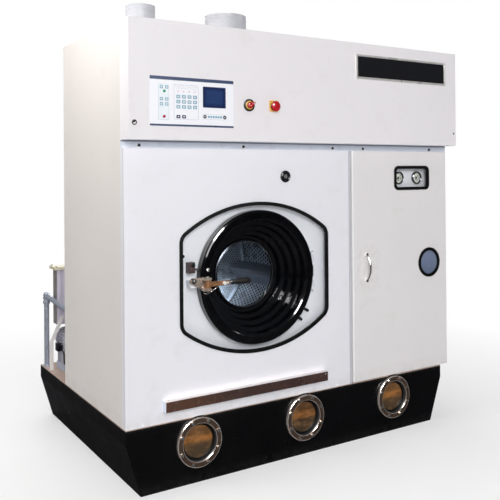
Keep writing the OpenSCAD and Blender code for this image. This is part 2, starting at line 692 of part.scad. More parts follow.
// ---- service door ----
module window_outline(d) { translate([window_x, window_z]) rounded(window_w + 2 * d, window_h + 2 * d, window_r + d); }
module porthole_outline(d) { translate([porthole_x, porthole_z]) circle(porthole_r + d); }
module service_door() machine("#dad6d6") difference() {
    union() {
        difference() {
            block([door_left, 0, deck_z + 2], [door_right, door_fold, front_h]);
            block([door_left + sheet, sheet, deck_z + 2 + sheet], [door_right - sheet, door_fold + 1, front_h - sheet]);
        }
        for (z = hinge_heights) {
            half = knuckle_l / 2 - 0.4;
            rod_z(service_x, service_y, z - half, z + half, knuckle_r);
            block([door_right - sheet, service_y - 4, z - half], [service_x, service_y + 4, z + half]);
        }
    }
    slab(-1, sheet + 1) window_outline(0);
    slab(-1, sheet + 1) porthole_outline(0);
    for (z = hinge_heights) rod_z(service_x, service_y, z - 40, z + 40, pin_r + run_gap);
}
module service_hinges() machine("#8e9196") difference() {
    for (h = hinge_heights, s = [-1, 1]) {
        z = h + s * knuckle_l;
        rod_z(service_x, service_y, z - knuckle_l / 2, z + knuckle_l / 2, knuckle_r);
        block([service_x - 4, service_y, z - knuckle_l / 2], [service_x + 5, 24, z + knuckle_l / 2]);
    }
    for (z = hinge_heights) rod_z(service_x, service_y, z - 60, z + 60, pin_r + run_gap);
}
module door_edging() machine("#101012") {
    edging_strip(sheet + 4) {
        window_outline(edging);
        window_outline(-near_gap);
        window_outline(-edging);
    }
    edging_strip(sheet) {
        porthole_outline(edging);
        porthole_outline(-near_gap);
        porthole_outline(-edging);
    }
}
module gauge_plate() machine("#f0f0f2") {
    slab(gauge_depth, gauge_depth + 2) translate([window_x, window_z])
        square([window_w + 44, window_h + 44], center = true);
    for (sx = [-1, 1], sz = [-1, 1])
        rod_y(window_x + sx * (window_w / 2 + 14), window_z + sz * (window_h / 2 + 14), sheet, gauge_depth + 0.5, 5);
}
module gauge_cases() machine("#2a2a2c") for (s = [-1, 1]) turned_y(window_x + s * gauge_pitch / 2, window_z)
    translate([0, gauge_depth]) polygon([[1.5 + run_gap, -3], [gauge_r - 3.5, -3], [gauge_r - 3.5, -12], [gauge_r, -12],
        [gauge_r, 0], [1.5 + run_gap, 0]]);
module needle(s) {
    x = window_x + s * gauge_pitch / 2;
    y = gauge_depth - 7;
    rod_y(x, window_z, y, y + 2.5, 3.5);
    rod_y(x, window_z, y + 2, gauge_depth - 1, 1.5);
    slab(y, y + 1) polygon([[x - 8, window_z - 6], [x - 6, window_z - 8], [x + 0.6 * gauge_r, window_z + 0.6 * gauge_r]]);
}
module left_needle() machine("#1c1c1e") needle(-1);
module right_needle() machine("#1c1c1e") needle(1);
module porthole_glass() machine([0.45, 0.5, 0.6, 0.6])
    rod_y(porthole_x, porthole_z, sheet + near_gap, sheet + near_gap + 6, porthole_r + 9);
module bow_handle() machine("#c9c7c3") {
    big = (pow(handle_l / 2, 2) + pow(handle_reach, 2)) / (2 * handle_reach);
    half = asin(handle_l / 2 / big);
    intersection() {
        translate([handle_x, big - handle_reach, handle_z]) rotate([0, -90, 0]) rotate([0, 0, -90 - half - 4])
            rotate_extrude(angle = 2 * half + 8) translate([big, 0]) circle(handle_r);
        block([handle_x - 50, -100, handle_z - handle_l], [handle_x + 50, 0, handle_z + handle_l]);
    }
    for (s = [-1, 1]) rod_y(handle_x, handle_z + s * handle_l / 2, -4, 0, handle_r + 3.5);
}

// ---- controls ----
// Raised keys of the overlay's film, in columns and rows
module key_group(x, z, columns, rows, dx, dz, w, h) {
    for (i = [0 : columns - 1], j = [0 : rows - 1]) translate([x + i * dx, z + j * dz]) rounded(w, h, 2);
}
module control_overlay() machine("#f2f2f6") {
    difference() {
        block([overlay_x, overlay_face, overlay_z], [overlay_x + overlay_w, hood_face, overlay_z + overlay_h]);
        block([display_x, overlay_face - 1, display_z], [display_x + display_w, hood_face + 1, display_z + display_h]);
        for (at = [start_at, stop_at]) rod_y(at[0], at[1], hood_face - 5, hood_face + 3, button_r + near_gap);
    }
    slab(overlay_face - 0.6, overlay_face + 0.1) translate([overlay_x, overlay_z]) {
        key_group(129, 82, 4, 3, 26, 21.3, 18, 14);
        key_group(129, 41, 2, 1, 26, 0, 18, 14);
        key_group(52, 91, 2, 2, 24, 20.5, 14, 13);
        key_group(52, 161, 2, 1, 24, 0, 14, 13);
        for (x = [254, 351]) translate([x, 45]) circle(8);
    }
}
module display_screen() machine("#2b3f70") block([display_x + near_gap, hood_face - 1, display_z + near_gap],
    [display_x + display_w - near_gap, hood_face, display_z + display_h - near_gap]);
module push_button(at) {
    rod_y(at[0], at[1], overlay_face - 2.5, hood_face + 6, button_r);
    rod_y(at[0], at[1], hood_face + sheet + near_gap, hood_face + 6, button_r + 2.5);
}
module start_button() machine("#3fae6a") push_button(start_at);
module stop_button() machine("#c8343c") push_button(stop_at);
// Front of a switch with its round body behind the hood, bored for the spindle
module switch_body(x) {
    difference() {
        union() {
            children();
            rod_y(x, switch_z, hood_face - 1, hood_face + 30, 11);
        }
        rod_y(x, switch_z, hood_face - 10, hood_face + 31, 8 + run_gap);
    }
}
module main_switch_base() machine("#1a1a1a") switch_body(switch_x) rod_y(switch_x, switch_z, hood_face - 6, hood_face, 27);
module main_switch_knob() machine("#d22020") {
    rod_y(switch_x, switch_z, hood_face - 22, hood_face - 6 - near_gap, 17);
    rod_y(switch_x, switch_z, hood_face - 8, hood_face + 28, 8);
    translate([switch_x, 0, switch_z]) rotate([0, 45, 0]) block([-6, hood_face - 38, -17], [6, hood_face - 20, 17]);
}
module estop_base() machine("#f0b81c") switch_body(estop_x)
    slab(hood_face - 4, hood_face) translate([estop_x, switch_z + 2]) rounded(46, 50, 4);
module estop_head() machine("#c81c20") {
    turned_y(estop_x, switch_z) translate([0, hood_face]) polygon([[0, -32], [8, -31.4], [15, -29.4], [20, -26.6], [23, -23],
        [23, -19], [20, -17], [13, -15], [8, -12], [8, 24], [0, 24]]);
}

// ---- roof and rear plant ----
// Round collar with a foot flange and an edge rolled inwards at the top
module collar(x, r) turned_z(x, duct_y) translate([r, cabinet_h]) polygon([[-2, 0], [18, 0], [18, 2], [0, 2], [0, duct_h],
    [-4, duct_h], [-5, duct_h - 2], [-4, duct_h - 4], [-2, duct_h - 5]]);
module duct_collars() machine("#d8d8dc") {
    collar(duct_x_left, duct_r_left);
    collar(door_x, duct_r_right);
}
// Pipe between two points
module pipe(a, b, r) {
    d = b - a;
    translate(a) rotate([0, acos(d[2] / norm(d)), atan2(d[1], d[0])]) cylinder(h = norm(d), r = r);
}
module riser_pipe() machine("#9ba0aa") {
    corner = [riser_r + 5.5, tank_d - 54, riser_top];
    drop = [riser_r + 48.5, cabinet_d + 68, riser_top - 62];
    elbow_r = riser_r + 4.5;
    rod_z(corner[0], corner[1], deck_z, corner[2], riser_r);
    rod_z(corner[0] + 3, corner[1], deck_z, deck_z + 8, riser_r + 8);
    pipe(corner, drop, riser_r);
    rod_z(drop[0], drop[1], deck_z, drop[2], riser_r);
    rod_z(drop[0], drop[1], deck_z, deck_z + 8, 30);
    // union nuts and rounded elbows at the two corners, and the side outlet of the first
    for (p = [corner, drop]) turned_z(p[0], p[1]) polygon([[0, p[2] - 44], [riser_r + 5, p[2] - 44], [riser_r + 5, p[2] - 30],
        [riser_r + 1.5, p[2] - 28], [riser_r + 1.5, p[2] - 8], [elbow_r, p[2] - 6],
        for (a = [0 : 15 : 90]) [elbow_r * cos(a), p[2] + elbow_r * sin(a)]]);
    rod_y(corner[0], corner[2] - 22, corner[1], corner[1] + 20, 11);
    rod_y(corner[0], corner[2] - 22, corner[1], corner[1] + 42, 8);
}
module condenser_box() machine("#8d9096") {
    difference() {
        union() {
            block([cooler_x, cooler_y, cooler_z0], [cooler_x + cooler_w, cooler_y + 70, cooler_z1]);
            block([cooler_x - 16, cooler_y - 16, cooler_z1], [cooler_x + cooler_w + 16, cooler_y + 86, cooler_z1 + 15]);
        }
        block([cooler_x + 3, cooler_y + 3, cooler_z0 + 3], [cooler_x + cooler_w - 3, cooler_y + 67, cooler_z1 + 5]);
    }
    // bent sheet legs on the front face
    for (s = [1, -1]) {
        x = cooler_x + cooler_w / 2 - s * (cooler_w / 2 + 32);
        bend = cooler_z0 - 88;
        slab(cooler_y - 4, cooler_y) polygon([[x - 10, deck_z], [x + 10, deck_z], [x + 10, bend], [x + 10 + s * 62, bend + 134],
            [x - 10 + s * 62, bend + 134], [x - 10, bend]]);
    }
}
// Pump with its finned motor, volute and flanged inlet
module solvent_pump() machine("#a7a9b4") {
    volute_y = pump_y + 26;
    body_y = pump_y + 100;
    end_y = body_y + pump_l;
    block([pump_x - 52, body_y - 20, deck_z], [pump_x + 52, end_y, deck_z + 35]);
    for (x = [-50, 30]) block([pump_x + x, body_y - 10, deck_z + 34], [pump_x + x + 20, end_y - 10, pump_z - pump_r + 8]);
    rod_y(pump_x, pump_z, body_y, end_y, pump_r);
    ring_y(pump_x, pump_z, pump_r - 8, 24) block([0, body_y + 5, -1.2], [18, end_y - 14, 1.2]);
    rod_y(pump_x, pump_z, end_y - 15, end_y + 7, pump_r + 10);
    rod_y(pump_x, pump_z, volute_y, body_y + 2, 30);
    rod_y(pump_x, pump_z, volute_y, volute_y + 30, volute_r);
    rod_y(pump_x, pump_z, pump_y, volute_y + 2, 22);
    rod_y(pump_x, pump_z, pump_y, pump_y + 6, 36);
    block([pump_x - 15, volute_y + 4, deck_z], [pump_x + 15, volute_y + 26, pump_z - volute_r + 12]);
}
// Upright pressure vessel with domed ends, a clamped lid and four legs on the deck
function vessel_side(r, z0, z1) = [[r * 0.5, z0 + r * 0.06], [r * 0.85, z0 + r * 0.2], [r, z0 + r * 0.4],
    [r, z1 - r * 0.4], [r * 0.85, z1 - r * 0.12], [r * 0.5, z1 - r * 0.03]];
module vessel(x, y, r, z0, z1) {
    lid_z = z1 - r * 0.4;
    wall = 4;
    inside = vessel_side(r - wall, z0 + wall, z1 - wall);
    turned_z(x, y) difference() {
        union() {
            polygon(concat([[0, z0]], vessel_side(r, z0, z1), [[0, z1]]));
            translate([0, lid_z]) square([r + 14, 24]);
        }
        polygon(concat([[0, z0 + wall]], inside, [[0, z1 - wall]]));
    }
    for (a = [45 : 90 : 315]) translate([x, y, 0]) rotate(a) block([r - 2, -12, deck_z], [r + 10, 12, z0 + r * 0.8]);
    rod_z(x, y, z1 - 2, z1 + 30, 18);
}
module solvent_filter() machine("#b9bdc4") vessel(filter_x, filter_y, filter_r, deck_z + vessel_rise, filter_top);
module still_vessel() machine("#a3a8b0") {
    vessel(door_right - still_r - 12, still_y, still_r, deck_z + vessel_rise + 30, still_top);
    // sight tube towards the porthole
    rod_y(porthole_x, porthole_z, 90, still_y - 155, porthole_r - 8);
}

solvent_tank();
tank_deck();
sight_port_flanges();
sight_port_glasses();
sight_port_bolts();
frame_posts();
frame_rails();
left_side_panel();
right_side_panel();
rear_panel();
control_hood();
front_panel();
panel_screws();
bumper_bar();
name_plate();
cutout_edging();
recessed_plate();
outer_tub();
drum();
drum_lifters();
drum_shaft();
bearing_housing();
drum_pulley();
drive_belt();
motor_pulley();
drive_motor();
loading_door();
door_glass();
door_gasket();
door_hinge_bracket();
hinge_pins();
latch_bracket();
latch_lever();
latch_grip();
interlock_switch();
lock_ring();
lock_barrel();
service_door();
service_hinges();
door_edging();
gauge_plate();
gauge_cases();
left_needle();
right_needle();
porthole_glass();
bow_handle();
control_overlay();
display_screen();
start_button();
stop_button();
main_switch_base();
main_switch_knob();
estop_base();
estop_head();
duct_collars();
riser_pipe();
condenser_box();
solvent_pump();
solvent_filter();
still_vessel();
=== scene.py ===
import math

import bmesh
import bpy
from mathutils import Matrix, Vector


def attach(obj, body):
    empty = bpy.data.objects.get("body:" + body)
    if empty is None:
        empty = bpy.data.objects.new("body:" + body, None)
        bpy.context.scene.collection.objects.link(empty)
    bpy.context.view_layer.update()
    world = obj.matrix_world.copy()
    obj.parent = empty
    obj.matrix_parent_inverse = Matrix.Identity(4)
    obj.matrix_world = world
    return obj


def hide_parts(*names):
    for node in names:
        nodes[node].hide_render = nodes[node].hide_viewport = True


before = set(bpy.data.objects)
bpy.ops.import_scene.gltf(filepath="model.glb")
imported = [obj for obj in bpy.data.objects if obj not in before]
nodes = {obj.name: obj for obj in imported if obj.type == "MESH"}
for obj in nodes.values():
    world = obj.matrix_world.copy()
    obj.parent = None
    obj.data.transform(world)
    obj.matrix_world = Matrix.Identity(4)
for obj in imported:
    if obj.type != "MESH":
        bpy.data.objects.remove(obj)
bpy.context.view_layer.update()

# Places are written in mm from the cabinet's left front corner at the floor, as on a drawing of the machine.
CORNER = Vector((897.0, 607.0, 0.0))
HOOD = -53.0           # front of the hood
FILM = -54.5           # front of the control overlay
REAR = 782             # back of the rear panel
DOOR_X, DOOR_Z = 646.0, 854.0
MOTOR_AXIS = (1120, 433)
PORTS = [(335 + 562.5 * i, 172) for i in range(3)]
SHARP = math.radians(35)   # folds sharper than this stay crisp
FRONT = (0, -1, 0)
BACK = (0, 1, 0)
UP = (0, 0, 1)


def at(x, y, z):
    """The frame's point for a place in mm."""
    return (Vector((x, y, z)) - CORNER) * 0.001


def facing(x, y, z, way=FRONT, spin=0.0):
    """Matrix from mm on a work plane to the frame: the plane's own Z points the given way."""
    if way == FRONT:
        turn = Matrix(((1, 0, 0), (0, 0, -1), (0, 1, 0)))
    else:
        turn = Vector(way).to_track_quat("Z", "Y").to_matrix()
    turn = turn @ Matrix.Rotation(math.radians(spin), 3, "Z")
    return Matrix.Translation(at(x, y, z)) @ turn.to_4x4() @ Matrix.Scale(0.001, 4)


def linear(code):
    """Linear colour of an sRGB hex value."""
    parts = [int(code[i:i + 2], 16) / 255 for i in (1, 3, 5)]
    return tuple(p / 12.92 if p <= 0.04045 else ((p + 0.055) / 1.055) ** 2.4 for p in parts) + (1.0,)


# ---- materials ----
def add(tree, kind, links=None, **settings):
    """Adds one node; links names its inputs, each with a value or another node's output."""
    node = tree.nodes.new("ShaderNode" + kind)
    for name, value in settings.items():
        setattr(node, name, value)
    for name, value in (links or {}).items():
        if isinstance(value, bpy.types.NodeSocket):
            tree.links.new(value, node.inputs[name])
        else:
            node.inputs[name].default_value = value
    return node


def sums(tree, how, *values):
    """One step of arithmetic."""
    return add(tree, "Math", dict(enumerate(values)), operation=how).outputs[0]


def spread(tree, value, lo, hi, out_lo=0.0, out_hi=1.0):
    """Maps a value from one range to another, held at both ends."""
    return add(tree, "MapRange", {"Value": value, "From Min": lo, "From Max": hi,
                                            "To Min": out_lo, "To Max": out_hi}).outputs[0]


def speckle(s, size_mm, lo=0.4, hi=0.6, detail=3.0, stretch=(1, 1, 1), rough=0.55):
    """Noise with features of a real size, as a mask from 0 to 1."""
    tree = s["tree"]
    scaled = add(tree, "VectorMath", {0: s["where"], 1: [k * 1000 / size_mm for k in stretch]},
                 operation="MULTIPLY").outputs[0]
    noise = add(tree, "TexNoise", {"Vector": scaled, "Scale": 1.0, "Detail": detail, "Roughness": rough})
    return spread(tree, noise.outputs["Fac"], lo, hi)


def band(s, axis, lo_mm, hi_mm, soft_mm=2.0):
    """1 between two places along an axis, fading over soft_mm outside them."""
    tree = s["tree"]
    if "axes" not in s:
        s["axes"] = add(tree, "SeparateXYZ", {0: s["where"]}).outputs
    value = s["axes"][axis]
    lo, hi, soft = ((lo_mm - CORNER[axis]) / 1000, (hi_mm - CORNER[axis]) / 1000, soft_mm / 1000)
    rise = spread(tree, value, lo - soft, lo)
    fall = spread(tree, value, hi, hi + soft, 1.0, 0.0)
    return sums(tree, "MULTIPLY", rise, fall)


def surface(name, colour, rough, metallic=0.0, drift=(0.02, 500.0), gloss=(0.06, 160.0),
            grain=(0.1, 4.0), depth_mm=0.1, stretch=(1, 1, 1), level=0.5):
    """The common ground of every finish: a colour and gloss that drift over real distances, and a fine relief.
    drift, gloss and grain each hold how strong the pattern is and its size in mm."""
    mat = bpy.data.materials.new(name)
    mat.use_nodes = True
    tree = mat.node_tree
    tree.nodes.clear()
    s = {"mat": mat, "tree": tree, "where": add(tree, "TexCoord").outputs["Object"]}
    base = linear(colour)
    dark = tuple(c * (1 - drift[0]) for c in base[:3]) + (1.0,)
    light = tuple(min(1.0, c * (1 + drift[0])) for c in base[:3]) + (1.0,)
    s["colour"] = add(tree, "MixRGB", {"Fac": speckle(s, drift[1], 0.3, 0.7), "Color1": dark,
                                                 "Color2": light}).outputs[0]
    s["rough"] = spread(tree, speckle(s, gloss[1], 0.25, 0.75, 4.0), 0.0, 1.0,
                        max(0.02, rough - gloss[0]), rough + gloss[0])
    s["height"] = speckle(s, grain[1], 0.2, 0.8, 2.0, stretch)
    s["bump"] = add(tree, "Bump", {"Height": s["height"], "Strength": grain[0], "Distance": depth_mm / 1000})
    s["shader"] = add(tree, "BsdfPrincipled", {
        "Base Color": s["colour"], "Roughness": s["rough"], "Metallic": metallic, "Normal": s["bump"].outputs[0]})
    if not metallic:
        s["shader"].inputs["Specular IOR Level"].default_value = level
    add(tree, "OutputMaterial", {"Surface": s["shader"].outputs[0]})
    return s


def layer(s, mask, colour=None, rough=None, metallic=None):
    """Lays another finish over a surface where the mask is 1."""
    tree = s["tree"]
    if colour:
        s["colour"] = add(tree, "MixRGB", {"Fac": mask, "Color1": s["colour"],
                                                     "Color2": linear(colour)}).outputs[0]
        tree.links.new(s["colour"], s["shader"].inputs["Base Color"])
    for key, socket, value in (("rough", "Roughness", rough), ("metal", "Metallic", metallic)):
        if value is not None:
            old = s.get(key, s["shader"].inputs[socket].default_value)
            s[key] = add(tree, "Mix", {0: mask, 2: old, 3: value}).outputs[0]
            tree.links.new(s[key], s["shader"].inputs[socket])
    return s


def overlap(s, *masks):
    """The masks multiplied: full where all of them are, and fainter by any plain number among them."""
    total = masks[0]
    for mask in masks[1:]:
        total = sums(s["tree"], "MULTIPLY", total, mask)
    return total


def stain(s, amount, colour, rough, *spots):
    """Patches of another finish, with the size, limits and detail that speckle takes."""
    return layer(s, overlap(s, speckle(s, *spots), amount), colour, rough)


def strip(s, amount, colour, rough, *places):
    """A strip of another finish, with the axis and places that band takes."""
    return layer(s, overlap(s, band(s, *places), amount), colour, rough)


def relief(s, height, strength, depth_mm):
    """Adds a second relief over the fine one."""
    s["bump"] = add(s["tree"], "Bump", {"Height": height, "Strength": strength,
                                                  "Distance": depth_mm / 1000, "Normal": s["bump"].outputs[0]})
    s["tree"].links.new(s["bump"].outputs[0], s["shader"].inputs["Normal"])
    return s


def powder_coat(name, colour, foot_mm=None, level=0.4):
    """Baked powder coat on sheet steel: an even satin skin with a soft orange peel of about 6 mm,
    thin dust towards the foot and faint hand marks."""
    s = surface(name, colour, 0.4, drift=(0.012, 700), gloss=(0.05, 220), grain=(0.12, 6), depth_mm=0.08, level=level)
    stain(s, 0.08, "#b9b2a8", 0.52, 90, 0.58, 0.72, 5.0)
    if foot_mm is not None:
        dust = overlap(s, band(s, 2, foot_mm - 10, foot_mm + 6, 60), speckle(s, 40, 0.3, 0.75, 4.0), 0.22)
        layer(s, dust, "#a39a8e", 0.6)
    return s


def brushed(name, colour, rough=0.3, stretch=(0.03, 1, 1), grain_mm=1.6):
    """Steel ground along one direction: fine long scratches that draw highlights out into streaks.
    The scratches are drawn 1.6 or 2.5 mm apart, coarser than real, so that they show."""
    s = surface(name, colour, rough, 1.0, drift=(0.06, 120), gloss=(0.08, 60), grain=(0.25, grain_mm),
                depth_mm=0.05, stretch=stretch)
    streak = overlap(s, speckle(s, grain_mm * 2, 0.45, 0.6, 3.0, stretch), 0.25)
    return layer(s, streak, None, rough + 0.15)


def turned_metal(name, colour, rough, centres, pitch_mm=1.5, metallic=1.0):
    """Metal faced on a lathe: rings round each centre, drawn 1.5 or 3 mm apart, coarser than real, so that
    they show."""
    s = surface(name, colour, rough, metallic, drift=(0.06, 60), gloss=(0.08, 30), grain=(0.1, 1.0), depth_mm=0.03)
    tree = s["tree"]
    nearest = None
    for x, z in centres:
        offset = add(tree, "VectorMath", {0: s["where"], 1: at(x, CORNER.y, z)}, operation="SUBTRACT")
        flat = add(tree, "VectorMath", {0: offset.outputs[0], 1: (1, 0, 1)}, operation="MULTIPLY")
        length = add(tree, "VectorMath", {0: flat.outputs[0]}, operation="LENGTH").outputs["Value"]
        nearest = length if nearest is None else sums(tree, "MINIMUM", nearest, length)
    s["radius"] = nearest
    rings = sums(tree, "SINE", sums(tree, "MULTIPLY", nearest, 2 * math.pi * 1000 / pitch_mm))
    return relief(s, rings, 0.25, 0.04)


ROW = 0.866            # rows of staggered holes lie this share of the pitch apart


def staggered(tree, across, along, lo, hi):
    """Round holes one apart in rows that are offset by half a pitch, as a mask from 0 to 1."""
    u = sums(tree, "ADD", across, sums(tree, "MULTIPLY", sums(tree, "FLOOR", along), 0.5))
    u = sums(tree, "SUBTRACT", sums(tree, "FRACT", u), 0.5)
    v = sums(tree, "MULTIPLY", sums(tree, "SUBTRACT", sums(tree, "FRACT", along), 0.5), ROW)
    far = sums(tree, "SQRT", sums(tree, "ADD", sums(tree, "MULTIPLY", u, u), sums(tree, "MULTIPLY", v, v)))
    return spread(tree, far, lo, hi, 1.0, 0.0)


def perforated_drum(name):
    """Stainless sheet punched with staggered holes, drawn 12 mm wide and 20 mm apart so that they show: rows of
    dark dots round the drum's wall. The back has smaller and fainter holes, and the two meet in a dark seam."""
    s = surface(name, "#c6d2e0", 0.3, 0.6, drift=(0.25, 150), gloss=(0.08, 90), grain=(0.12, 2), depth_mm=0.04,
                stretch=(1, 0.05, 1))
    tree = s["tree"]
    offset = add(tree, "VectorMath", {0: s["where"], 1: at(DOOR_X, 0, DOOR_Z)}, operation="SUBTRACT")
    x, y, z = add(tree, "SeparateXYZ", {0: offset.outputs[0]}).outputs
    radius = sums(tree, "SQRT", sums(tree, "ADD", overlap(s, x, x), overlap(s, z, z)))
    pitch, back_pitch, wall_r = 0.0205, 0.015, 0.337
    holes_round = round(wall_r * 2 * math.pi / pitch)
    across = overlap(s, sums(tree, "ARCTAN2", z, x), holes_round / (2 * math.pi))
    along = sums(tree, "DIVIDE", y, pitch * ROW)
    wall = overlap(s, spread(tree, radius, 0.333, 0.3345), band(s, 1, 172, 678, 3))
    back = overlap(s, spread(tree, radius, 0.11, 0.112), spread(tree, radius, 0.326, 0.328, 1.0, 0.0))
    small = staggered(tree, sums(tree, "DIVIDE", x, back_pitch), sums(tree, "DIVIDE", z, back_pitch * ROW), 0.22, 0.3)
    hole = sums(tree, "ADD", overlap(s, staggered(tree, across, along, 0.28, 0.34), wall), overlap(s, small, back, 0.7))
    layer(s, hole, "#050608", 0.7, 0.0)
    seam = overlap(s, spread(tree, radius, 0.3325, 0.3335), band(s, 1, 660, 672, 1), 0.85)
    layer(s, seam, "#0c0e11", 0.5)
    return relief(s, sums(tree, "SUBTRACT", 1.0, hole), 0.6, 0.8)


def clear_glass(name, tint, veil, rough=0.03):
    """Tempered glass: mostly see-through, more mirror-like towards its rim, with a faint film of dust."""
    s = surface(name, tint, rough, drift=(0.1, 80), gloss=(0.02, 40), grain=(0.02, 30), depth_mm=0.05)
    tree = s["tree"]
    edge = add(tree, "LayerWeight", {"Blend": 0.35}).outputs["Fresnel"]
    dust = overlap(s, speckle(s, 25, 0.45, 0.8, 5.0), 0.03)
    alpha = sums(tree, "ADD", sums(tree, "ADD", overlap(s, edge, 0.45), veil), dust)
    tree.links.new(alpha, s["shader"].inputs["Alpha"])
    s["shader"].inputs["Specular IOR Level"].default_value = 0.9
    return s


WHITE_HOOD = powder_coat("powder_coated_hood_white", "#ebe8ea", level=0.07)
WHITE_FRONT = powder_coat("powder_coated_front_white", "#e9e9ee", 283)
WHITE_SIDE = powder_coat("powder_coated_side_white", "#e8e3de", 283)
WHITE_DOOR = powder_coat("powder_coated_door_white", "#e6e3e3", 285)
WHITE_RECESS = powder_coat("powder_coated_recess_white", "#eef1f6")
# Painted shade: a dark line along the seam where each side sheet meets its corner post
strip(WHITE_SIDE, 0.4, "#a4958f", 0.6, 1, 4.5, 8, 0.8)
# The rolled edges on both sides of the service door: painted shade as a dull grey strip on the fixed sheet's edge, and
# a painted highlight as a bright strip along the door's own edge
layer(WHITE_FRONT, band(WHITE_FRONT, 0, 1177, 1189.5, 0.6), "#c2c1c8", 0.5)
layer(WHITE_DOOR, band(WHITE_DOOR, 0, 1199, 1208, 0.8), "#fbfbfb", 0.3)
# The front sheet's return at the left corner: painted shade as a duller grey strip in its middle, and a painted
# highlight as a bright strip towards its front edge
strip(WHITE_FRONT, 0.8, "#cdc9cc", 0.5, 1, 8, 14, 0.6)
layer(WHITE_FRONT, band(WHITE_FRONT, 1, 2.5, 7.4, 0.4), "#ffffff", 0.3)
# Hand marks round the bow handle
s = WHITE_DOOR
handled = overlap(s, band(s, 0, 1250, 1330, 60), band(s, 2, 780, 910, 70))
layer(s, overlap(s, handled, overlap(s, speckle(s, 25, 0.4, 0.7, 5.0), 0.22)), "#a79c90", 0.5)

# Brushed black enamel on welded plate: deep gloss with long level brush strokes, dust along the foot and scuffs
TANK = surface("brushed_black_enamel", "#09090b", 0.3, drift=(0.3, 300), gloss=(0.06, 120),
               grain=(0.15, 5), depth_mm=0.1, stretch=(0.12, 0.12, 1), level=0.14)
s = TANK
foot_dust = overlap(s, band(s, 2, -5, 8, 45), speckle(s, 30, 0.3, 0.8, 5.0), 0.1)
layer(s, foot_dust, "#6b655d", 0.6)
ledge_dust = overlap(s, band(s, 2, 274, 290, 6), speckle(s, 20, 0.35, 0.7, 4.0), 0.14)
layer(s, ledge_dust, "#77716b", 0.6)
scuffs = overlap(s, speckle(s, 8, 0.66, 0.72, 4.0, (0.25, 0.25, 1)), band(s, 2, 0, 90, 60), 0.18)
layer(s, scuffs, "#57545a", 0.5)

# Red-lead style tan primer on the deck: matt, with dust and a few solvent stains
DECK = surface("tan_primer", "#b39c8d", 0.72, drift=(0.1, 200), grain=(0.2, 3))
stain(DECK, 0.35, "#7d6a5f", 0.45, 120, 0.5, 0.7, 5.0)

PORT_STEEL = turned_metal("turned_stainless_flange", "#cdc1ba", 0.2, PORTS, metallic=0.6)
# Its face is brown between the bright outer and inner rims
s = PORT_STEEL
face = overlap(s, spread(s["tree"], s["radius"], 0.0835, 0.0845),
               spread(s["tree"], s["radius"], 0.1025, 0.1035, 1.0, 0.0), 0.94)
layer(s, face, "#54402f", 0.2)
# Painted shade inside each port's bore: its inner wall is darkened
shaded_bore = spread(s["tree"], s["radius"], 0.0815, 0.0825, 0.95, 0.0)
layer(s, shaded_bore, "#14100e", 0.4, 0.0)
# Sight glass with solvent behind it: amber, darker towards the lower rim
PORT_GLASS = surface("amber_sight_glass", "#6a4a2c", 0.06, drift=(0.5, 70), gloss=(0.03, 30),
                     grain=(0.05, 30), depth_mm=0.1, level=0.8)
strip(PORT_GLASS, 0.7, "#38352a", None, 2, 60, 150, 24)
amber = overlap(PORT_GLASS, band(PORT_GLASS, 2, 176, 190, 14),
                speckle(PORT_GLASS, 45, 0.3, 0.62, 4.0, (1, 1, 3)), 0.75)
layer(PORT_GLASS, amber, "#b3763a")
stain(PORT_GLASS, 0.5, "#a9794a", None, 60, 0.5, 0.75, 3.0, (1, 1, 2))
BOLT = surface("zinc_plated_bolt", "#d6d4ce", 0.25, 1.0, drift=(0.1, 15), grain=(0.2, 1.5))
stain(BOLT, 0.4, "#8f877a", 0.5, 6, 0.55, 0.7)

FRAME_GREY = surface("satin_grey_frame_paint", "#e3eaf5", 0.45, drift=(0.05, 200), grain=(0.15, 4))
stain(FRAME_GREY, 0.25, "#8d8f93", 0.6, 50, 0.55, 0.75, 4.0)
# Painted shadow under the hood's lower edge, on the strip that carries it: a soft band and a darker line at its top
strip(FRAME_GREY, 0.35, "#8b98ae", 0.55, 2, 1462, 1480, 26)
strip(FRAME_GREY, 0.75, "#4b586c", 0.6, 2, 1458.5, 1480, 2)

# Zinc screws; those at the foot of the front panel are painted over with it
SCREW = surface("dark_zinc_screw", "#4d5159", 0.35, 1.0, drift=(0.2, 5), grain=(0.2, 1))
layer(SCREW, band(SCREW, 2, 0, 400, 5), "#f4f4f6", 0.3, 0.0)
# Painted shade: the screw recesses and the key slot are dark bars that stand in for the shade inside them
SLOT_DARK = surface("screw_slot_painted_shade", "#17181a", 0.6, drift=(0.3, 4), grain=(0.2, 1))

# Steel bar coloured warm brown as a painted reflection of a brown floor, drawn along its length, with a painted
# highlight along its upper edge
BROWN_REFLECTION_BAR = surface("steel_bar_painted_brown_reflection", "#4e3a35", 0.26, 0.3, drift=(0.25, 260), gloss=(0.08, 120),
                 grain=(0.15, 2), depth_mm=0.05, stretch=(0.02, 1, 1), level=0.6)
# Painted reflection: a warmer brown over its left part
strip(BROWN_REFLECTION_BAR, 0.4, "#7a5238", None, 0, 165, 300, 200)
stain(BROWN_REFLECTION_BAR, 0.4, "#2d211e", 0.5, 7, 0.62, 0.7, 4.0, (0.2, 1, 1))
# Painted highlight along the top face
strip(BROWN_REFLECTION_BAR, 0.92, "#e6e0df", 0.3, 2, 375.5, 380, 1.0)

# Anodised plate with a bare bright rim and a glossy black field
PLATE = surface("black_field_plate", "#cbc9c5", 0.3, 0.4, drift=(0.06, 80), grain=(0.2, 1.5), stretch=(0.05, 1, 1))
field = overlap(PLATE, band(PLATE, 0, 1197, 1795, 0.4), band(PLATE, 2, 1793, 1893, 0.4))
layer(PLATE, field, "#131316", 0.22, 0.0)

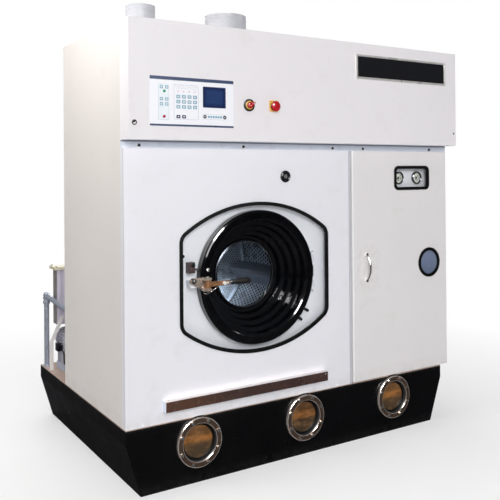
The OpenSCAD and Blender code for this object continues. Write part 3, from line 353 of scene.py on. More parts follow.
# EPDM edging: dull extruded black with bloom and faint lengthwise draw lines
RUBBER = surface("extruded_rubber_edging", "#060607", 0.5, drift=(0.25, 40), grain=(0.2, 2), level=0.12)
stain(RUBBER, 0.08, "#4a4a4c", 0.6, 30, 0.5, 0.75, 4.0)

TUB = brushed("rolled_stainless_tub", "#a9b0ba", 0.34, (1, 0.04, 1))
DRUM = perforated_drum("perforated_stainless_drum")
# Folded lifters: satin stainless, paler than the drum's wall where washing has worn them
LIFTER = surface("folded_stainless_lifter", "#b3bccb", 0.3, 0.4, drift=(0.06, 200), gloss=(0.03, 120),
                 grain=(0.1, 1.6), depth_mm=0.05, stretch=(1, 0.04, 1))
SHAFT = turned_metal("ground_steel_shaft", "#b9bcc1", 0.2, [(DOOR_X, DOOR_Z)])
HOUSING = surface("painted_grey_casting", "#565a61", 0.55, drift=(0.15, 60), grain=(0.5, 3), depth_mm=0.3)
stain(HOUSING, 0.35, "#2c2a29", 0.35, 25, 0.55, 0.7, 5.0)
PULLEY = turned_metal("turned_cast_iron", "#5c6066", 0.36, [(DOOR_X, DOOR_Z), MOTOR_AXIS], 3.0, 0.8)
stain(PULLEY, 0.35, "#4a3526", 0.7, 40, 0.55, 0.75, 5.0)
BELT = surface("ribbed_drive_belt", "#1b1b1d", 0.62, drift=(0.2, 30), grain=(0.3, 2), level=0.3)
belt_y = add(BELT["tree"], "SeparateXYZ", {0: BELT["where"]}).outputs[1]
ribs = sums(BELT["tree"], "SINE", overlap(BELT, belt_y, 2 * math.pi * 1000 / 4.5))
relief(BELT, ribs, 0.6, 1.0)
MOTOR = surface("machine_enamel_blue", "#5b7287", 0.38, drift=(0.1, 80), grain=(0.25, 4), depth_mm=0.2)
stain(MOTOR, 0.3, "#3c4148", 0.6, 35, 0.5, 0.72, 5.0)

# Stove enamel on a turned casting: deep black gloss over very slight ripples, fine dust on the steps
DOOR_BLACK = surface("stove_enamelled_casting", "#040406", 0.08, drift=(0.4, 90), gloss=(0.04, 70),
                     grain=(0.04, 14), depth_mm=0.1, level=0.55)
stain(DOOR_BLACK, 0.02, "#8a8f98", 0.3, 22, 0.5, 0.8, 5.0)
# The hinge leaf and its knuckles are painted with the recess behind them
layer(DOOR_BLACK, band(DOOR_BLACK, 0, 950, 1000, 0.4), "#dfe3ea", 0.4)
GLASS = clear_glass("tempered_door_glass", "#20262e", 0.02)
HINGE_DARK = surface("black_rest_clip_enamel", "#101114", 0.35, drift=(0.3, 20), grain=(0.25, 3))
stain(HINGE_DARK, 0.4, "#5b5a58", 0.4, 9, 0.6, 0.7, 4.0)

# Forged and ground steel clamp: warm grey, oil in its pits, bright where the hand and the keeper rub it
CLAMP = surface("forged_steel_clamp", "#a89c90", 0.34, 0.55, drift=(0.18, 18), gloss=(0.1, 12),
                grain=(0.5, 3), depth_mm=0.25)
stain(CLAMP, 0.6, "#5a4436", 0.55, 16, 0.5, 0.68, 5.0)
# Cast brass arm: orange yellow with brown tarnish away from where it is held
BRASS = surface("worn_cast_brass", "#b98861", 0.28, 0.65, drift=(0.15, 20), grain=(0.3, 2.5), depth_mm=0.15)
stain(BRASS, 0.6, "#6f4123", 0.5, 15, 0.5, 0.7, 5.0)
GRIP = surface("moulded_phenolic_grip", "#17140f", 0.32, drift=(0.3, 30), grain=(0.15, 2), level=0.5)
NYLON = surface("white_nylon_bush", "#e9e7e2", 0.4, drift=(0.05, 8), grain=(0.1, 1))
BROWN_PLASTIC = surface("moulded_brown_switch", "#412a2c", 0.42, drift=(0.15, 20), grain=(0.3, 1.5))
stain(BROWN_PLASTIC, 0.3, "#7b6464", 0.6, 10, 0.55, 0.7)
BLACK_ABS = surface("moulded_black_abs", "#0c0c0e", 0.34, drift=(0.25, 15), grain=(0.2, 1.2), level=0.22)
PLATED = surface("nickel_plated_barrel", "#c4c4c8", 0.24, 0.8, drift=(0.15, 8), grain=(0.15, 1))
ZINC_HINGE = surface("zinc_plated_hinge", "#9599a0", 0.35, 1.0, drift=(0.12, 15), grain=(0.2, 2))

# Gauges: black case, pale printed dial
GAUGE_PANEL = powder_coat("powder_coated_gauge_plate", "#eef0f5")
CASE = surface("black_gauge_case", "#1c1c1f", 0.3, drift=(0.2, 10), grain=(0.15, 1))
DIAL = surface("printed_dial_card", "#f4f6ea", 0.55, drift=(0.04, 15), grain=(0.05, 1))
INK = surface("black_printing_ink", "#1a1b1f", 0.5, drift=(0.1, 10), grain=(0.05, 1))
CHROME = surface("chromed_steel_rod", "#d2d0cc", 0.14, 1.0, drift=(0.08, 12), grain=(0.1, 2))
stain(CHROME, 0.3, "#7d786f", 0.45, 7, 0.6, 0.72, 4.0)
RING_STEEL = surface("blackened_steel_ring", "#4a4e55", 0.24, 1.0, drift=(0.2, 30), grain=(0.15, 2))
GAUGE_GLASS = clear_glass("gauge_cover_glass", "#c8d0d6", 0.0)
# Tinted porthole: blue grey, a little darker at the foot
PORTHOLE = surface("tinted_porthole_glass", "#75819a", 0.12, drift=(0.08, 60), gloss=(0.03, 40),
                   grain=(0.04, 20), level=0.6)
strip(PORTHOLE, 0.4, "#58637a", None, 2, 740, 800, 60)

# Control overlay: polyester film printed from behind, with raised keys
FILM_WHITE = surface("embossed_polyester_film", "#f5f6fa", 0.32, drift=(0.01, 100), grain=(0.12, 1.5))
FILM_CYAN = surface("pale_cyan_print", "#edf4f8", 0.32, drift=(0.02, 60), grain=(0.12, 1.5))
FILM_BLUE = surface("slate_blue_print", "#38486b", 0.3, drift=(0.06, 60), grain=(0.12, 1.5))
FILM_TEAL = surface("teal_key_print", "#639fb6", 0.32, drift=(0.05, 20), grain=(0.12, 1.5))
FILM_NAVY = surface("navy_key_print", "#222a52", 0.3, drift=(0.08, 20), grain=(0.12, 1.5))
FILM_GREY = surface("grey_line_print", "#b9bfcc", 0.35, drift=(0.03, 30), grain=(0.1, 1.5))
FILM_ROSE = surface("rose_legend_print", "#dcb4bd", 0.35, drift=(0.1, 10), grain=(0.1, 1.5))
FILM_DARK = surface("charcoal_key_print", "#33364a", 0.35, drift=(0.1, 10), grain=(0.1, 1.5))
# Liquid crystal display behind a gloss window: navy with the faint raster of its dots, drawn 3 mm apart
DISPLAY = surface("navy_display_glass", "#243a66", 0.1, drift=(0.12, 60), gloss=(0.03, 50),
                  grain=(0.03, 20), level=0.6)
raster = add(DISPLAY["tree"], "TexChecker", {"Vector": DISPLAY["where"], "Scale": 1000 / 3.0,
             "Color1": (1, 1, 1, 1), "Color2": (0, 0, 0, 1)}).outputs["Fac"]
layer(DISPLAY, overlap(DISPLAY, raster, 0.1), "#42558c")
inside = overlap(DISPLAY, band(DISPLAY, 0, 358, 428, 14), band(DISPLAY, 2, 1624, 1674, 12))
layer(DISPLAY, sums(DISPLAY["tree"], "SUBTRACT", 0.75, overlap(DISPLAY, inside, 0.75)), "#16224a")
SEGMENTS = surface("lit_display_segments", "#41538a", 0.2, drift=(0.1, 20), grain=(0.05, 4))
GREEN = surface("moulded_green_button", "#2f9b74", 0.25, drift=(0.08, 6), grain=(0.1, 1))
RED = surface("moulded_red_button", "#b5121c", 0.26, drift=(0.1, 12), grain=(0.12, 1.5), level=0.3)
STOP_RED = surface("moulded_stop_red", "#b01f4a", 0.25, drift=(0.08, 6), grain=(0.1, 1))
DISC_CREAM = surface("printed_cream_disc", "#e6c565", 0.35, drift=(0.06, 12), grain=(0.12, 1.5))
YELLOW = surface("moulded_yellow_plate", "#eec052", 0.3, drift=(0.06, 12), grain=(0.12, 1.5))

# Hot-dip galvanised duct: flat crystals about 9 mm across, each with its own tone
ZINC = surface("galvanised_duct_sheet", "#babbbf", 0.42, 0.0, drift=(0.06, 60), grain=(0.12, 3), level=0.03)
cells = add(ZINC["tree"], "TexVoronoi", {"Vector": ZINC["where"], "Scale": 1000 / 9.0})
layer(ZINC, spread(ZINC["tree"], add(ZINC["tree"], "SeparateColor",
      {0: cells.outputs["Color"]}).outputs[0], 0.0, 1.0, 0.0, 0.4), "#a9adb6", 0.5)

PIPE = surface("grey_galvanised_pipe", "#b4bbc8", 0.22, 0.5, drift=(0.08, 80), grain=(0.25, 4), depth_mm=0.15)
stain(PIPE, 0.3, "#77716c", 0.6, 30, 0.55, 0.7, 5.0)
COOLER = surface("weathered_grey_cooler", "#87827e", 0.45, drift=(0.15, 120), grain=(0.25, 4))
stain(COOLER, 0.35, "#5d5450", 0.6, 60, 0.5, 0.72, 5.0, (1, 1, 0.3))
# Painted light: the front face is drawn pale lilac, and paler still in its lower part, for the light that falls on it
layer(COOLER, band(COOLER, 1, 1055, 1065.6, 0.2), "#c6c2d2", 0.35)
layer(COOLER, overlap(COOLER, band(COOLER, 1, 1050, 1064.8, 0.2), band(COOLER, 2, 280, 570, 0.5)), "#e2dfdc", 0.25)
layer(COOLER, band(COOLER, 2, 814.9, 840, 0.2), "#cfc9ae", 0.5)
PUMP = surface("grey_enamelled_casting", "#a9a8b2", 0.42, drift=(0.12, 50), grain=(0.4, 3), depth_mm=0.25)
stain(PUMP, 0.4, "#75686a", 0.6, 25, 0.5, 0.7, 5.0)
layer(PUMP, band(PUMP, 2, 280, 317.5, 0.5), "#b7c4d6", 0.35)
FILTER = brushed("polished_stainless_vessel", "#a9adb4", 0.3, (0.04, 0.04, 1), 2.5)
STILL = brushed("stainless_still_shell", "#9aa0a8", 0.34, (0.04, 0.04, 1), 2.5)

DRESS = {
    "solvent_tank": TANK, "tank_deck": DECK, "sight_port_flanges": PORT_STEEL, "sight_port_glasses": PORT_GLASS,
    "sight_port_bolts": BOLT, "frame_posts": FRAME_GREY, "frame_rails": FRAME_GREY, "left_side_panel": WHITE_SIDE,
    "right_side_panel": WHITE_SIDE, "rear_panel": WHITE_SIDE, "control_hood": WHITE_HOOD, "front_panel": WHITE_FRONT,
    "panel_screws": SCREW, "bumper_bar": BROWN_REFLECTION_BAR, "name_plate": PLATE, "cutout_edging": RUBBER,
    "recessed_plate": WHITE_RECESS, "outer_tub": TUB, "drum": DRUM, "drum_lifters": LIFTER, "drum_shaft": SHAFT,
    "bearing_housing": HOUSING, "drum_pulley": PULLEY, "drive_belt": BELT, "motor_pulley": PULLEY,
    "drive_motor": MOTOR, "loading_door": DOOR_BLACK, "door_glass": GLASS, "door_gasket": RUBBER,
    "door_hinge_bracket": WHITE_RECESS, "hinge_pins": SHAFT, "latch_bracket": CLAMP, "latch_lever": BRASS,
    "latch_grip": GRIP, "interlock_switch": BROWN_PLASTIC, "lock_ring": BLACK_ABS, "lock_barrel": PLATED,
    "service_door": WHITE_DOOR, "service_hinges": ZINC_HINGE, "door_edging": RUBBER, "gauge_plate": GAUGE_PANEL,
    "gauge_cases": CASE, "left_needle": INK, "right_needle": INK, "porthole_glass": PORTHOLE, "bow_handle": CHROME,
    "control_overlay": FILM_WHITE, "display_screen": DISPLAY, "start_button": GREEN, "stop_button": STOP_RED,
    "main_switch_base": BLACK_ABS, "main_switch_knob": RED, "estop_base": YELLOW, "estop_head": RED,
    "duct_collars": ZINC, "riser_pipe": PIPE, "condenser_box": COOLER, "solvent_pump": PUMP,
    "solvent_filter": FILTER, "still_vessel": STILL,
}
for name, obj in nodes.items():
    obj.data.materials.clear()
    obj.data.materials.append(DRESS[name]["mat"])


# Sheet and castings have no knife edges: a small radius gives each fold its highlight
for name, radius in (("control_hood", 2.5), ("loading_door", 3.6), ("solvent_tank", 2.5), ("service_door", 2.0),
                     ("left_side_panel", 2.0), ("right_side_panel", 2.0), ("front_panel", 1.0), ("bumper_bar", 1.5),
                     ("recessed_plate", 1.0), ("solvent_pump", 2.0), ("condenser_box", 1.5), ("drive_motor", 2.0),
                     ("interlock_switch", 2.0), ("latch_lever", 1.2), ("latch_bracket", 1.2), ("estop_base", 1.2),
                     ("drum_lifters", 2.0), ("bearing_housing", 2.5), ("drum_pulley", 1.5), ("name_plate", 0.8)):
    flat = nodes[name].modifiers.new("merged_flats", "DECIMATE")
    flat.decimate_type = "DISSOLVE"
    flat.angle_limit = math.radians(0.5)
    soft = nodes[name].modifiers.new("edge_radius", "BEVEL")
    soft.width = radius / 1000
    soft.segments = 3
    soft.limit_method = "ANGLE"
    soft.angle_limit = math.radians(28)
    soft.harden_normals = True


# ---- mesh tools: each adds one shape to bm ----
def loft(bm, rows, caps=(True, True)):
    """Joins rows of equally many vertices into one skin, closed at the ends that caps names."""
    for low, high in zip(rows, rows[1:]):
        for i in range(len(low)):
            j = (i + 1) % len(low)
            bm.faces.new((low[i], low[j], high[j], high[i]))
    if caps[0]:
        bm.faces.new(rows[0][::-1])
    if caps[1]:
        bm.faces.new(rows[-1])


def skin(bm, rings, place, caps=(True, True)):
    """Joins outlines of equal length, each [(x, y), ...] with its height, into one skin."""
    loft(bm, [[bm.verts.new(place @ Vector((x, y, height))) for x, y in outline] for outline, height in rings], caps)


def turned(bm, profile, place, steps=40):
    """Lathe work: profile is [radius, height] in mm along the place's own Z."""
    rings = []
    for radius, height in profile:
        turns = [2 * math.pi * i / steps for i in range(steps if radius else 1)]
        rings.append([bm.verts.new(place @ Vector((radius * math.cos(t), radius * math.sin(t), height)))
                      for t in turns])
    for low, high in zip(rings, rings[1:]):
        for i in range(steps):
            j = (i + 1) % steps
            corners = [low[i % len(low)], low[j % len(low)], high[j % len(high)], high[i % len(high)]]
            loop = list(dict.fromkeys(corners))
            if len(loop) > 2:
                bm.faces.new(loop)


def disc(bm, r, h, edge, place, steps):
    """Round boss with a broken rim: edge is its narrower radius at the top and the height where that starts."""
    turned(bm, [(0, 0), (r, 0), (r, edge[1]), (edge[0], h), (0, h)], place, steps)


def round_rect(w, h, r, n=5):
    """Outline of a rounded rectangle about its centre."""
    points = []
    for k, (sx, sy) in enumerate(((1, 1), (-1, 1), (-1, -1), (1, -1))):
        for i in range(n + 1):
            t = math.pi / 2 * (k + i / n)
            points.append((sx * (w / 2 - r) + r * math.cos(t), sy * (h / 2 - r) + r * math.sin(t)))
    return points


def plate(bm, w, h, r, thick, place, edge=0.15):
    """Thin rounded plate with a broken front edge."""
    skin(bm, [(round_rect(w, h, r), 0), (round_rect(w, h, r), thick - edge),
              (round_rect(w - 2 * edge, h - 2 * edge, max(r - edge, 0.05)), thick)], place)


def rim(bm, w, h, r, line, thick, place):
    """Rounded rectangular line of the given width."""
    outer = round_rect(w, h, r)
    inner = round_rect(w - 2 * line, h - 2 * line, max(r - line, 0.1))
    skin(bm, [(outer, 0), (outer, thick), (inner, thick), (inner, 0)], place, (False, False))


def brick(bm, low, high, edge=0.6):
    """Box between two corners in mm, with all its edges broken."""
    size = [b - a for a, b in zip(low, high)]
    middle = [(a + b) / 2 for a, b in zip(low, high)]
    new = bmesh.ops.create_cube(bm, size=1.0)["verts"]
    for v in new:
        v.co = at(*[m + c * k for m, c, k in zip(middle, v.co, size)])
    edges = list({e for v in new for e in v.link_edges})
    bmesh.ops.bevel(bm, geom=edges, offset=edge / 1000, segments=2, profile=0.6, affect="EDGES")


def hex_bolt(bm, place, across, height):
    """Hexagon head with a chamfered crown on a flat washer 1.2 mm thick."""
    r = across / 2 / math.cos(math.pi / 6)
    washer = 1.2
    turned(bm, [(0, 0), (r * 1.25, 0), (r * 1.25, 1.0), (r * 1.18, washer), (0, washer)], place, 24)
    turned(bm, [(r, washer), (r, washer + height * 0.8), (r * 0.86, washer + height), (0, washer + height)], place, 6)


def pan_head(bm, place, r, height):
    """Domed screw head."""
    dome = [(r, 0), (r, height * 0.35), (r * 0.85, height * 0.75), (r * 0.5, height * 0.97), (0, height)]
    turned(bm, dome, place, 24)


def cross_slot(bm, place, r, height):
    """Cross recess on a screw head, as two dark bars of painted shade."""
    for w, h in ((r * 1.2, r * 0.28), (r * 0.28, r * 1.2)):
        skin(bm, [(round_rect(w, h, r * 0.12, 2), height - 0.4), (round_rect(w * 0.9, h * 0.8, r * 0.08, 2), height)],
             place)


def tube(bm, points, r, steps=14):
    """Round bar along a run of points in mm, with closed ends."""
    path = [at(*p) for p in points]
    rows = []
    side = None
    for i, p in enumerate(path):
        along = (path[min(i + 1, len(path) - 1)] - path[max(i - 1, 0)]).normalized()
        if side is None:
            side = along.orthogonal().normalized()
        side = (side - along * side.dot(along)).normalized()
        other = along.cross(side)
        rows.append([bm.verts.new(p + (side * math.cos(t) + other * math.sin(t)) * r / 1000)
                     for t in (2 * math.pi * k / steps for k in range(steps))])
    loft(bm, rows)


def louvre(bm, x, z):
    """Pressed lip of a vent in the rear panel."""
    lip = [(REAR, z + 7.5), (788, z + 3), (793, z - 6.5), (791.6, z - 7), (786.4, z + 1.8), (REAR, z + 5)]
    loft(bm, [[bm.verts.new(at(end, y, height)) for y, height in lip] for end in (x + 2, x + 158)])


def fan_guard(bm, place, radii, half, height, crown, steps):
    """Rings of a fan guard."""
    for r in radii:
        turned(bm, [(r - half, 0), (r + half, 0), (r + half, height), (r, crown), (r - half, height)], place, steps)


def around(x, y, r, count, first=0.0):
    """Evenly spaced places on a circle."""
    turns = [math.radians(first + 360 / count * k) for k in range(count)]
    return [(x + r * math.cos(t), y + r * math.sin(t)) for t in turns]


def piece(name, finish, shapes, body="cabinet"):
    """A named piece that moves with a body. Each of its shapes is a mesh tool and what the tool needs."""
    bm = bmesh.new()
    for tool, *sizes in shapes:
        tool(bm, *sizes)
    bmesh.ops.recalc_face_normals(bm, faces=bm.faces)
    for face in bm.faces:
        face.smooth = True
    for edge in bm.edges:
        edge.smooth = edge.calc_face_angle(0.0) < SHARP
    mesh = bpy.data.meshes.new(name)
    bm.to_mesh(mesh)
    bm.free()
    obj = bpy.data.objects.new(name, mesh)
    bpy.context.scene.collection.objects.link(obj)
    mesh.materials.append(finish["mat"])
    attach(obj, body)
    return obj


# ---- control overlay ----
def on_film(tool, x, z, *sizes, lift=0.0):
    """A shape on the overlay, or lift mm in front of it."""
    return tool, *sizes, facing(x, FILM - lift, z)


KEY_LIFT, WINDOW_LIFT, MARK_LIFT = 0.4, 0.85, 1.12
LEFT_X, GROUP_X, LOW_Z = 153.5, (219.7, 244.6, 270.9, 297.4), 1565
keypad = [(x, z) for x in (220, 246, 272, 298) for z in (1602, 1623.3, 1644.6)]
left_keys = [(x, z) for x in (143, 167) for z in (1611, 1631.5, 1681)]
navy_keys = [(x, 1561) for x in (220, 246)]
knobs = [(x, LOW_Z) for x in (345, 442)]

piece("overlay_stripes", FILM_BLUE, [
    on_film(plate, 289, 1718.5, 396, 14, 1.2, 0.35), on_film(plate, 289, 1524.6, 396, 8, 1.2, 0.35)])
piece("overlay_tinted_fields", FILM_CYAN, [
    on_film(plate, LEFT_X, 1620, 46, 145, 3, 0.2), on_film(plate, 394, LOW_Z, 88, 12, 2, 0.2)])
piece("overlay_group_lines", FILM_GREY, [
    on_film(rim, LEFT_X, 1620, 48, 147, 3.5, 1.2, 0.32), on_film(rim, 257.5, 1622, 116, 145, 3.5, 1.2, 0.32),
    on_film(rim, 392.5, LOW_Z, 116, 22, 3.5, 1.0, 0.32)] + [
    on_film(rim, x, 1686, 21, 17, 2.5, 0.7, 0.3) for x in GROUP_X])
piece("overlay_teal_keys", FILM_TEAL, [
    on_film(plate, x, z, 18, 14, 2, 0.5, lift=KEY_LIFT) for x, z in keypad] + [
    on_film(plate, x, z, 14, 13, 2, 0.5, lift=KEY_LIFT) for x, z in left_keys] + [
    on_film(plate, x, LOW_Z, 9, 8, 1, 0.35) for x in (364, 376, 388, 400, 412, 424)])
piece("overlay_key_windows", FILM_WHITE, [
    on_film(plate, x, z, 10, 7, 1.2, 0.3, lift=WINDOW_LIFT) for x, z in keypad] + [
    on_film(plate, x, z, 7.5, 6.5, 1.2, 0.3, lift=WINDOW_LIFT) for x, z in left_keys] + [
    on_film(plate, x, z, 6.5, 4.5, 1.0, 0.3, lift=WINDOW_LIFT) for x, z in navy_keys] + [
    (turned, [(2.2, 0), (2.0, 0.3), (0, 0.3)], facing(x, FILM - WINDOW_LIFT, z), 20) for x, z in knobs])
mark = (1.1, 0.3, 0.2)
piece("overlay_dark_marks", FILM_DARK, [
    (plate, w, *mark, facing(x, FILM - MARK_LIFT, z + up), 0.05)
    for x, z in keypad for w, up in ((5.5, 1.2), (3.4, -1.4))] + [
    (plate, 4.0, *mark, facing(x, FILM - MARK_LIFT, z), 0.05) for x, z in left_keys] + [
    (turned, [(8.0, 0), (8.0, 0.4), (7.6, 0.5), (0, 0.5)], facing(x, FILM - KEY_LIFT, z), 28) for x, z in knobs])
piece("overlay_navy_keys", FILM_NAVY, [
    on_film(plate, x, z, 18, 14, 2, 0.5, lift=KEY_LIFT) for x, z in navy_keys])
piece("overlay_rose_legends", FILM_ROSE, [
    on_film(plate, x, z, *sizes) for x in GROUP_X
    for z, *sizes in ((1668, 10, 2.2, 0.6, 0.3), (1664, 7, 1.8, 0.6, 0.3), (1686, 8, 2, 0.6, 0.35))])

DISPLAY_X, DISPLAY_Z = 392, 1648.5
piece("display_bezel", FILM_NAVY, [
    (rim, 112, 89, 3, 2.4, 0.6, facing(DISPLAY_X, FILM + 0.1, DISPLAY_Z))])
piece("display_lines", SEGMENTS, [
    (plate, w, 1.6, 0.5, 0.15, facing(345 + w / 2, HOOD, z), 0.05)
    for z, w in ((1678, 70), (1668, 48), (1640, 60), (1630, 34))] + [
    (rim, 96, 70, 2, 0.8, 0.15, facing(DISPLAY_X, HOOD, DISPLAY_Z))])

# ---- switches on the hood ----
SWITCH_X, ESTOP_X, SWITCH_Z = 567, 698, 1624
KNOB_SPIN = -45        # the main switch's bar points up and to the right
switch_front = facing(SWITCH_X, HOOD - 6, SWITCH_Z)
piece("main_switch_yellow_disc", DISC_CREAM, [
    (turned, [(12.0, 0), (19.4, 0), (19.4, 0.5), (19, 0.8), (12.0, 0.8)], switch_front, 48)])
piece("main_switch_bezel_ring", BLACK_ABS, [
    (turned, [(19.6, 0), (26.9, 0), (26.9, 0.8), (26, 1.4), (20.4, 1.4), (19.6, 0.8)], switch_front, 48)])
knob = piece("main_switch_grip", RED, [
    (turned, [(8, -28), (8, 6.4), (13.4, 6.4), (13.8, 7.2), (13.8, 17), (12.6, 20), (9.5, 21.6), (0, 22)],
     facing(SWITCH_X, HOOD, SWITCH_Z), 48),
    (skin, [(round_rect(11.6, 33, 4.8), 20.6), (round_rect(10.6, 32, 4.6), 34), (round_rect(9.6, 31, 4.2), 36.6),
            (round_rect(6.6, 28, 3.2), 37.6)], facing(SWITCH_X, HOOD, SWITCH_Z, FRONT, KNOB_SPIN))], "main_switch")
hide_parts("main_switch_knob")
piece("main_switch_pointer", NYLON, [
    (plate, 2.4, 9, 1.1, 0.4, facing(SWITCH_X, HOOD - 37.5, SWITCH_Z, FRONT, KNOB_SPIN)
     @ Matrix.Translation((0, 7.5, 0)))], "main_switch")
piece("estop_grip_ribs", RED, [
    (turned, [(0, 0), (1.0, 0), (1.0, 4.2), (0.6, 4.8), (0, 5)],
     facing(ESTOP_X, HOOD, SWITCH_Z) @ Matrix.Translation((x, y, 18.6)), 8)
    for x, y in around(0, 0, 22.6, 24)], "estop")
piece("estop_collar_ring", BLACK_ABS, [
    (turned, [(13.5, 0), (17.5, 0), (17.5, 2.2), (16.8, 3.0), (13.5, 3.0)], facing(ESTOP_X, HOOD - 4, SWITCH_Z), 40)])
piece("estop_plate_screws", BOLT, [
    (pan_head, facing(ESTOP_X + x, HOOD - 4, 1626 + z), 2.1, 1.2) for x in (-18.5, 18.5) for z in (-20.5, 20.5)])

# ---- round lock in the hood, and its screws ----
HOOD_LOCK = (24, HOOD, 1532)
piece("hood_lock_body", BLACK_ABS, [
    (turned, [(10.4, 0), (11.2, 0.6), (10.8, 2.0), (8.0, 2.6), (7.6, 1.4), (0, 1.2)], facing(*HOOD_LOCK), 32)])
half = [(7.0 * math.cos(t), 7.0 * math.sin(t)) for t in [math.pi + math.pi * i / 16 for i in range(17)]]
piece("hood_lock_insert", NYLON, [
    (skin, [(half, 1.0), (half, 2.1), ([(x * 0.9, y * 0.9 - 0.2) for x, y in half], 2.4)],
     facing(*HOOD_LOCK, FRONT, 20))])
side_screw = facing(1868, HOOD, 1529)
piece("hood_side_screw", SCREW, [(pan_head, side_screw, 5.0, 2.6)])
STRIP_SCREWS = (75, 582, 1095, 1290, 1757)
STRIP_Z = 1443.5
piece("screw_recesses", SLOT_DARK, [(cross_slot, side_screw, 4.6, 2.75)] + [
    (cross_slot, facing(x, 17.5, STRIP_Z), 4.4, 0.25) for x in STRIP_SCREWS])
piece("screw_washers", BOLT, [
    (turned, [(5.1, 0), (8, 0), (8, 0.6), (7.4, 0.9), (5.1, 0.9)], facing(x, 20, STRIP_Z), 24) for x in STRIP_SCREWS])
piece("painted_washers", WHITE_FRONT, [
    (turned, [(5.1, 0), (7.6, 0), (7.6, 0.6), (7.0, 0.9), (5.1, 0.9)], facing(x, 0, 291), 24)
    for x in STRIP_SCREWS[:3]])

# ---- cylinder lock in the front panel ----
LOCK_X, LOCK_Z = 797, 1307.5
piece("lock_ring_crown", BLACK_ABS, [
    (turned, [(20, 3.9), (20, 5), (22, 6.6), (25.4, 5.6), (27, 4.2), (27, 3.6)], facing(LOCK_X, 0, LOCK_Z), 48)])
piece("lock_barrel_face", BLACK_ABS, [
    (turned, [(9.5, 3.8), (18.2, 3.8), (18.2, 4.5), (17, 5.6), (12, 5.6), (9.5, 4.6)], facing(LOCK_X, 0, LOCK_Z), 40)],
      "lock_barrel")
piece("lock_key_slot", SLOT_DARK, [
    (plate, 2.2, 13, 1, 0.4, facing(LOCK_X, -4.0, LOCK_Z))], "lock_barrel")

# ---- bar ----
piece("bar_left_cap", FRAME_GREY, [(brick, (163.6, -30.2, 332.2), (167.0, -0.2, 377.2), 0.7)])
piece("bar_screws", BOLT, [(pan_head, facing(x, -15, 377, UP), 3.6, 1.6) for x in (185, 590, 996)] + [
    (pan_head, facing(1004, -30, 366), 2.6, 1.2)])

# ---- loading door: bolts, clips and latch parts ----
RECESS = 34            # front of the recessed plate
piece("ring_stop_bolt", BOLT, [(hex_bolt, facing(378, -14, 907), 11, 4.5)], "loading_door")
piece("ring_rest_clips", HINGE_DARK, [
    (skin, [(round_rect(22, 12, 3), 0), (round_rect(22, 12, 3), 17), (round_rect(20, 10, 2.4), 18.5)],
     facing(x, RECESS, z, FRONT, spin)) for x, z, spin in ((931, 670, -33), (893, 633, -42))])
piece("plate_rivet", BLACK_ABS, [(pan_head, facing(282, RECESS, 967), 7, 3.4)])
piece("cover_rivets", WHITE_RECESS, [
    (pan_head, facing(x, 32, z), 1.8, 0.9) for x, z in around(947, 641, 30, 8, 20)])
glass_seat = facing(DOOR_X, 118.5, DOOR_Z)
piece("glass_retaining_ring", RING_STEEL, [
    (turned, [(151.5, 0), (160, 0), (160, 3), (157, 5), (152.5, 4.4), (151.5, 3)], glass_seat, 96)], "loading_door")
piece("glass_ring_lip", CHROME, [
    (turned, [(150.2, 2.6), (150.2, 4.4), (150.9, 5.4), (152.2, 5.6), (152.6, 4.0)], glass_seat, 96)], "loading_door")

LATCH_Z = 850
ALONG = (1, 0, 0)
piece("latch_fittings", BOLT, [
    (hex_bolt, facing(363, -40, 877, UP), 12, 5), (hex_bolt, facing(363, -40, 823, (0, 0, -1)), 12, 5),
    (hex_bolt, facing(300, -33.5, 866), 10, 4), (hex_bolt, facing(346, -24, 834), 8, 3.5)], "loading_door")
piece("latch_spring_wire", CHROME, [
    (tube, [(350, -24, 812), (362, -30, 806), (376, -31, 810), (432, -31, 843)], 2.2)], "loading_door")
piece("latch_rubber_stop", BLACK_ABS, [
    (disc, 10.5, 3.2, (9.4, 2.2), facing(300, -32.5, 866), 28),
    (disc, 4.2, 5, (3.4, 4.4), facing(293, -26, 876), 16)], "loading_door")
body_line = [(-36, 11), (-35, 19), (-29, 24), (-18, 26), (12, 23), (14, 14), (14, -18), (8, -18), (-6, -10), (-20, 1),
             (-31, 4)]
piece("latch_cast_boss", CLAMP, [
    (skin, [(body_line, 0), (body_line, 6), ([(x * 0.88 - 1, z * 0.8 + 1.5) for x, z in body_line], 9.5)],
     facing(326, -24, LATCH_Z))], "loading_door")
piece("latch_nylon_bush", NYLON, [
    (turned, [(0, 0), (7.5, 0), (7.5, 9), (6.5, 10.5), (0, 11)], facing(440, -44.8, LATCH_Z), 24),
    (turned, [(0, 0), (4.0, 0), (4.0, 1.6), (0, 2)], facing(458, -44.8, LATCH_Z), 18)], "latch")
axis = facing(470, -40, LATCH_Z, ALONG)
grip = piece("latch_grip_shell", GRIP, [
    (turned, [(0, 2), (8.0, 2), (9.5, 6), (11, 20), (12.5, 50), (13, 78), (12.2, 96), (9.5, 104), (4, 108), (0, 109)],
     axis, 32)], "latch")
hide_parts("latch_grip")
piece("latch_grip_ferrule", PLATED, [
    (turned, [(6.5, -4), (8.4, -3), (8.4, 1.5), (6.5, 2.4)], axis, 28)], "latch")

piece("interlock_fittings", BROWN_PLASTIC, [
    (pan_head, facing(302, 2, z), 3, 1.6) for z in (903, 935)] + [(brick, (297, -0.5, 908), (320, 2.2, 913), 1.0)])
piece("interlock_roller", BLACK_ABS, [
    (turned, [(0, 0), (8.5, 0), (8.5, 5), (7.4, 6.2), (4, 6.2), (3.4, 5.4), (0, 5.4)], facing(313, 2, 931), 28),
    (disc, 5.5, 3.6, (4.6, 3), facing(323, 16, 911, ALONG), 20)])

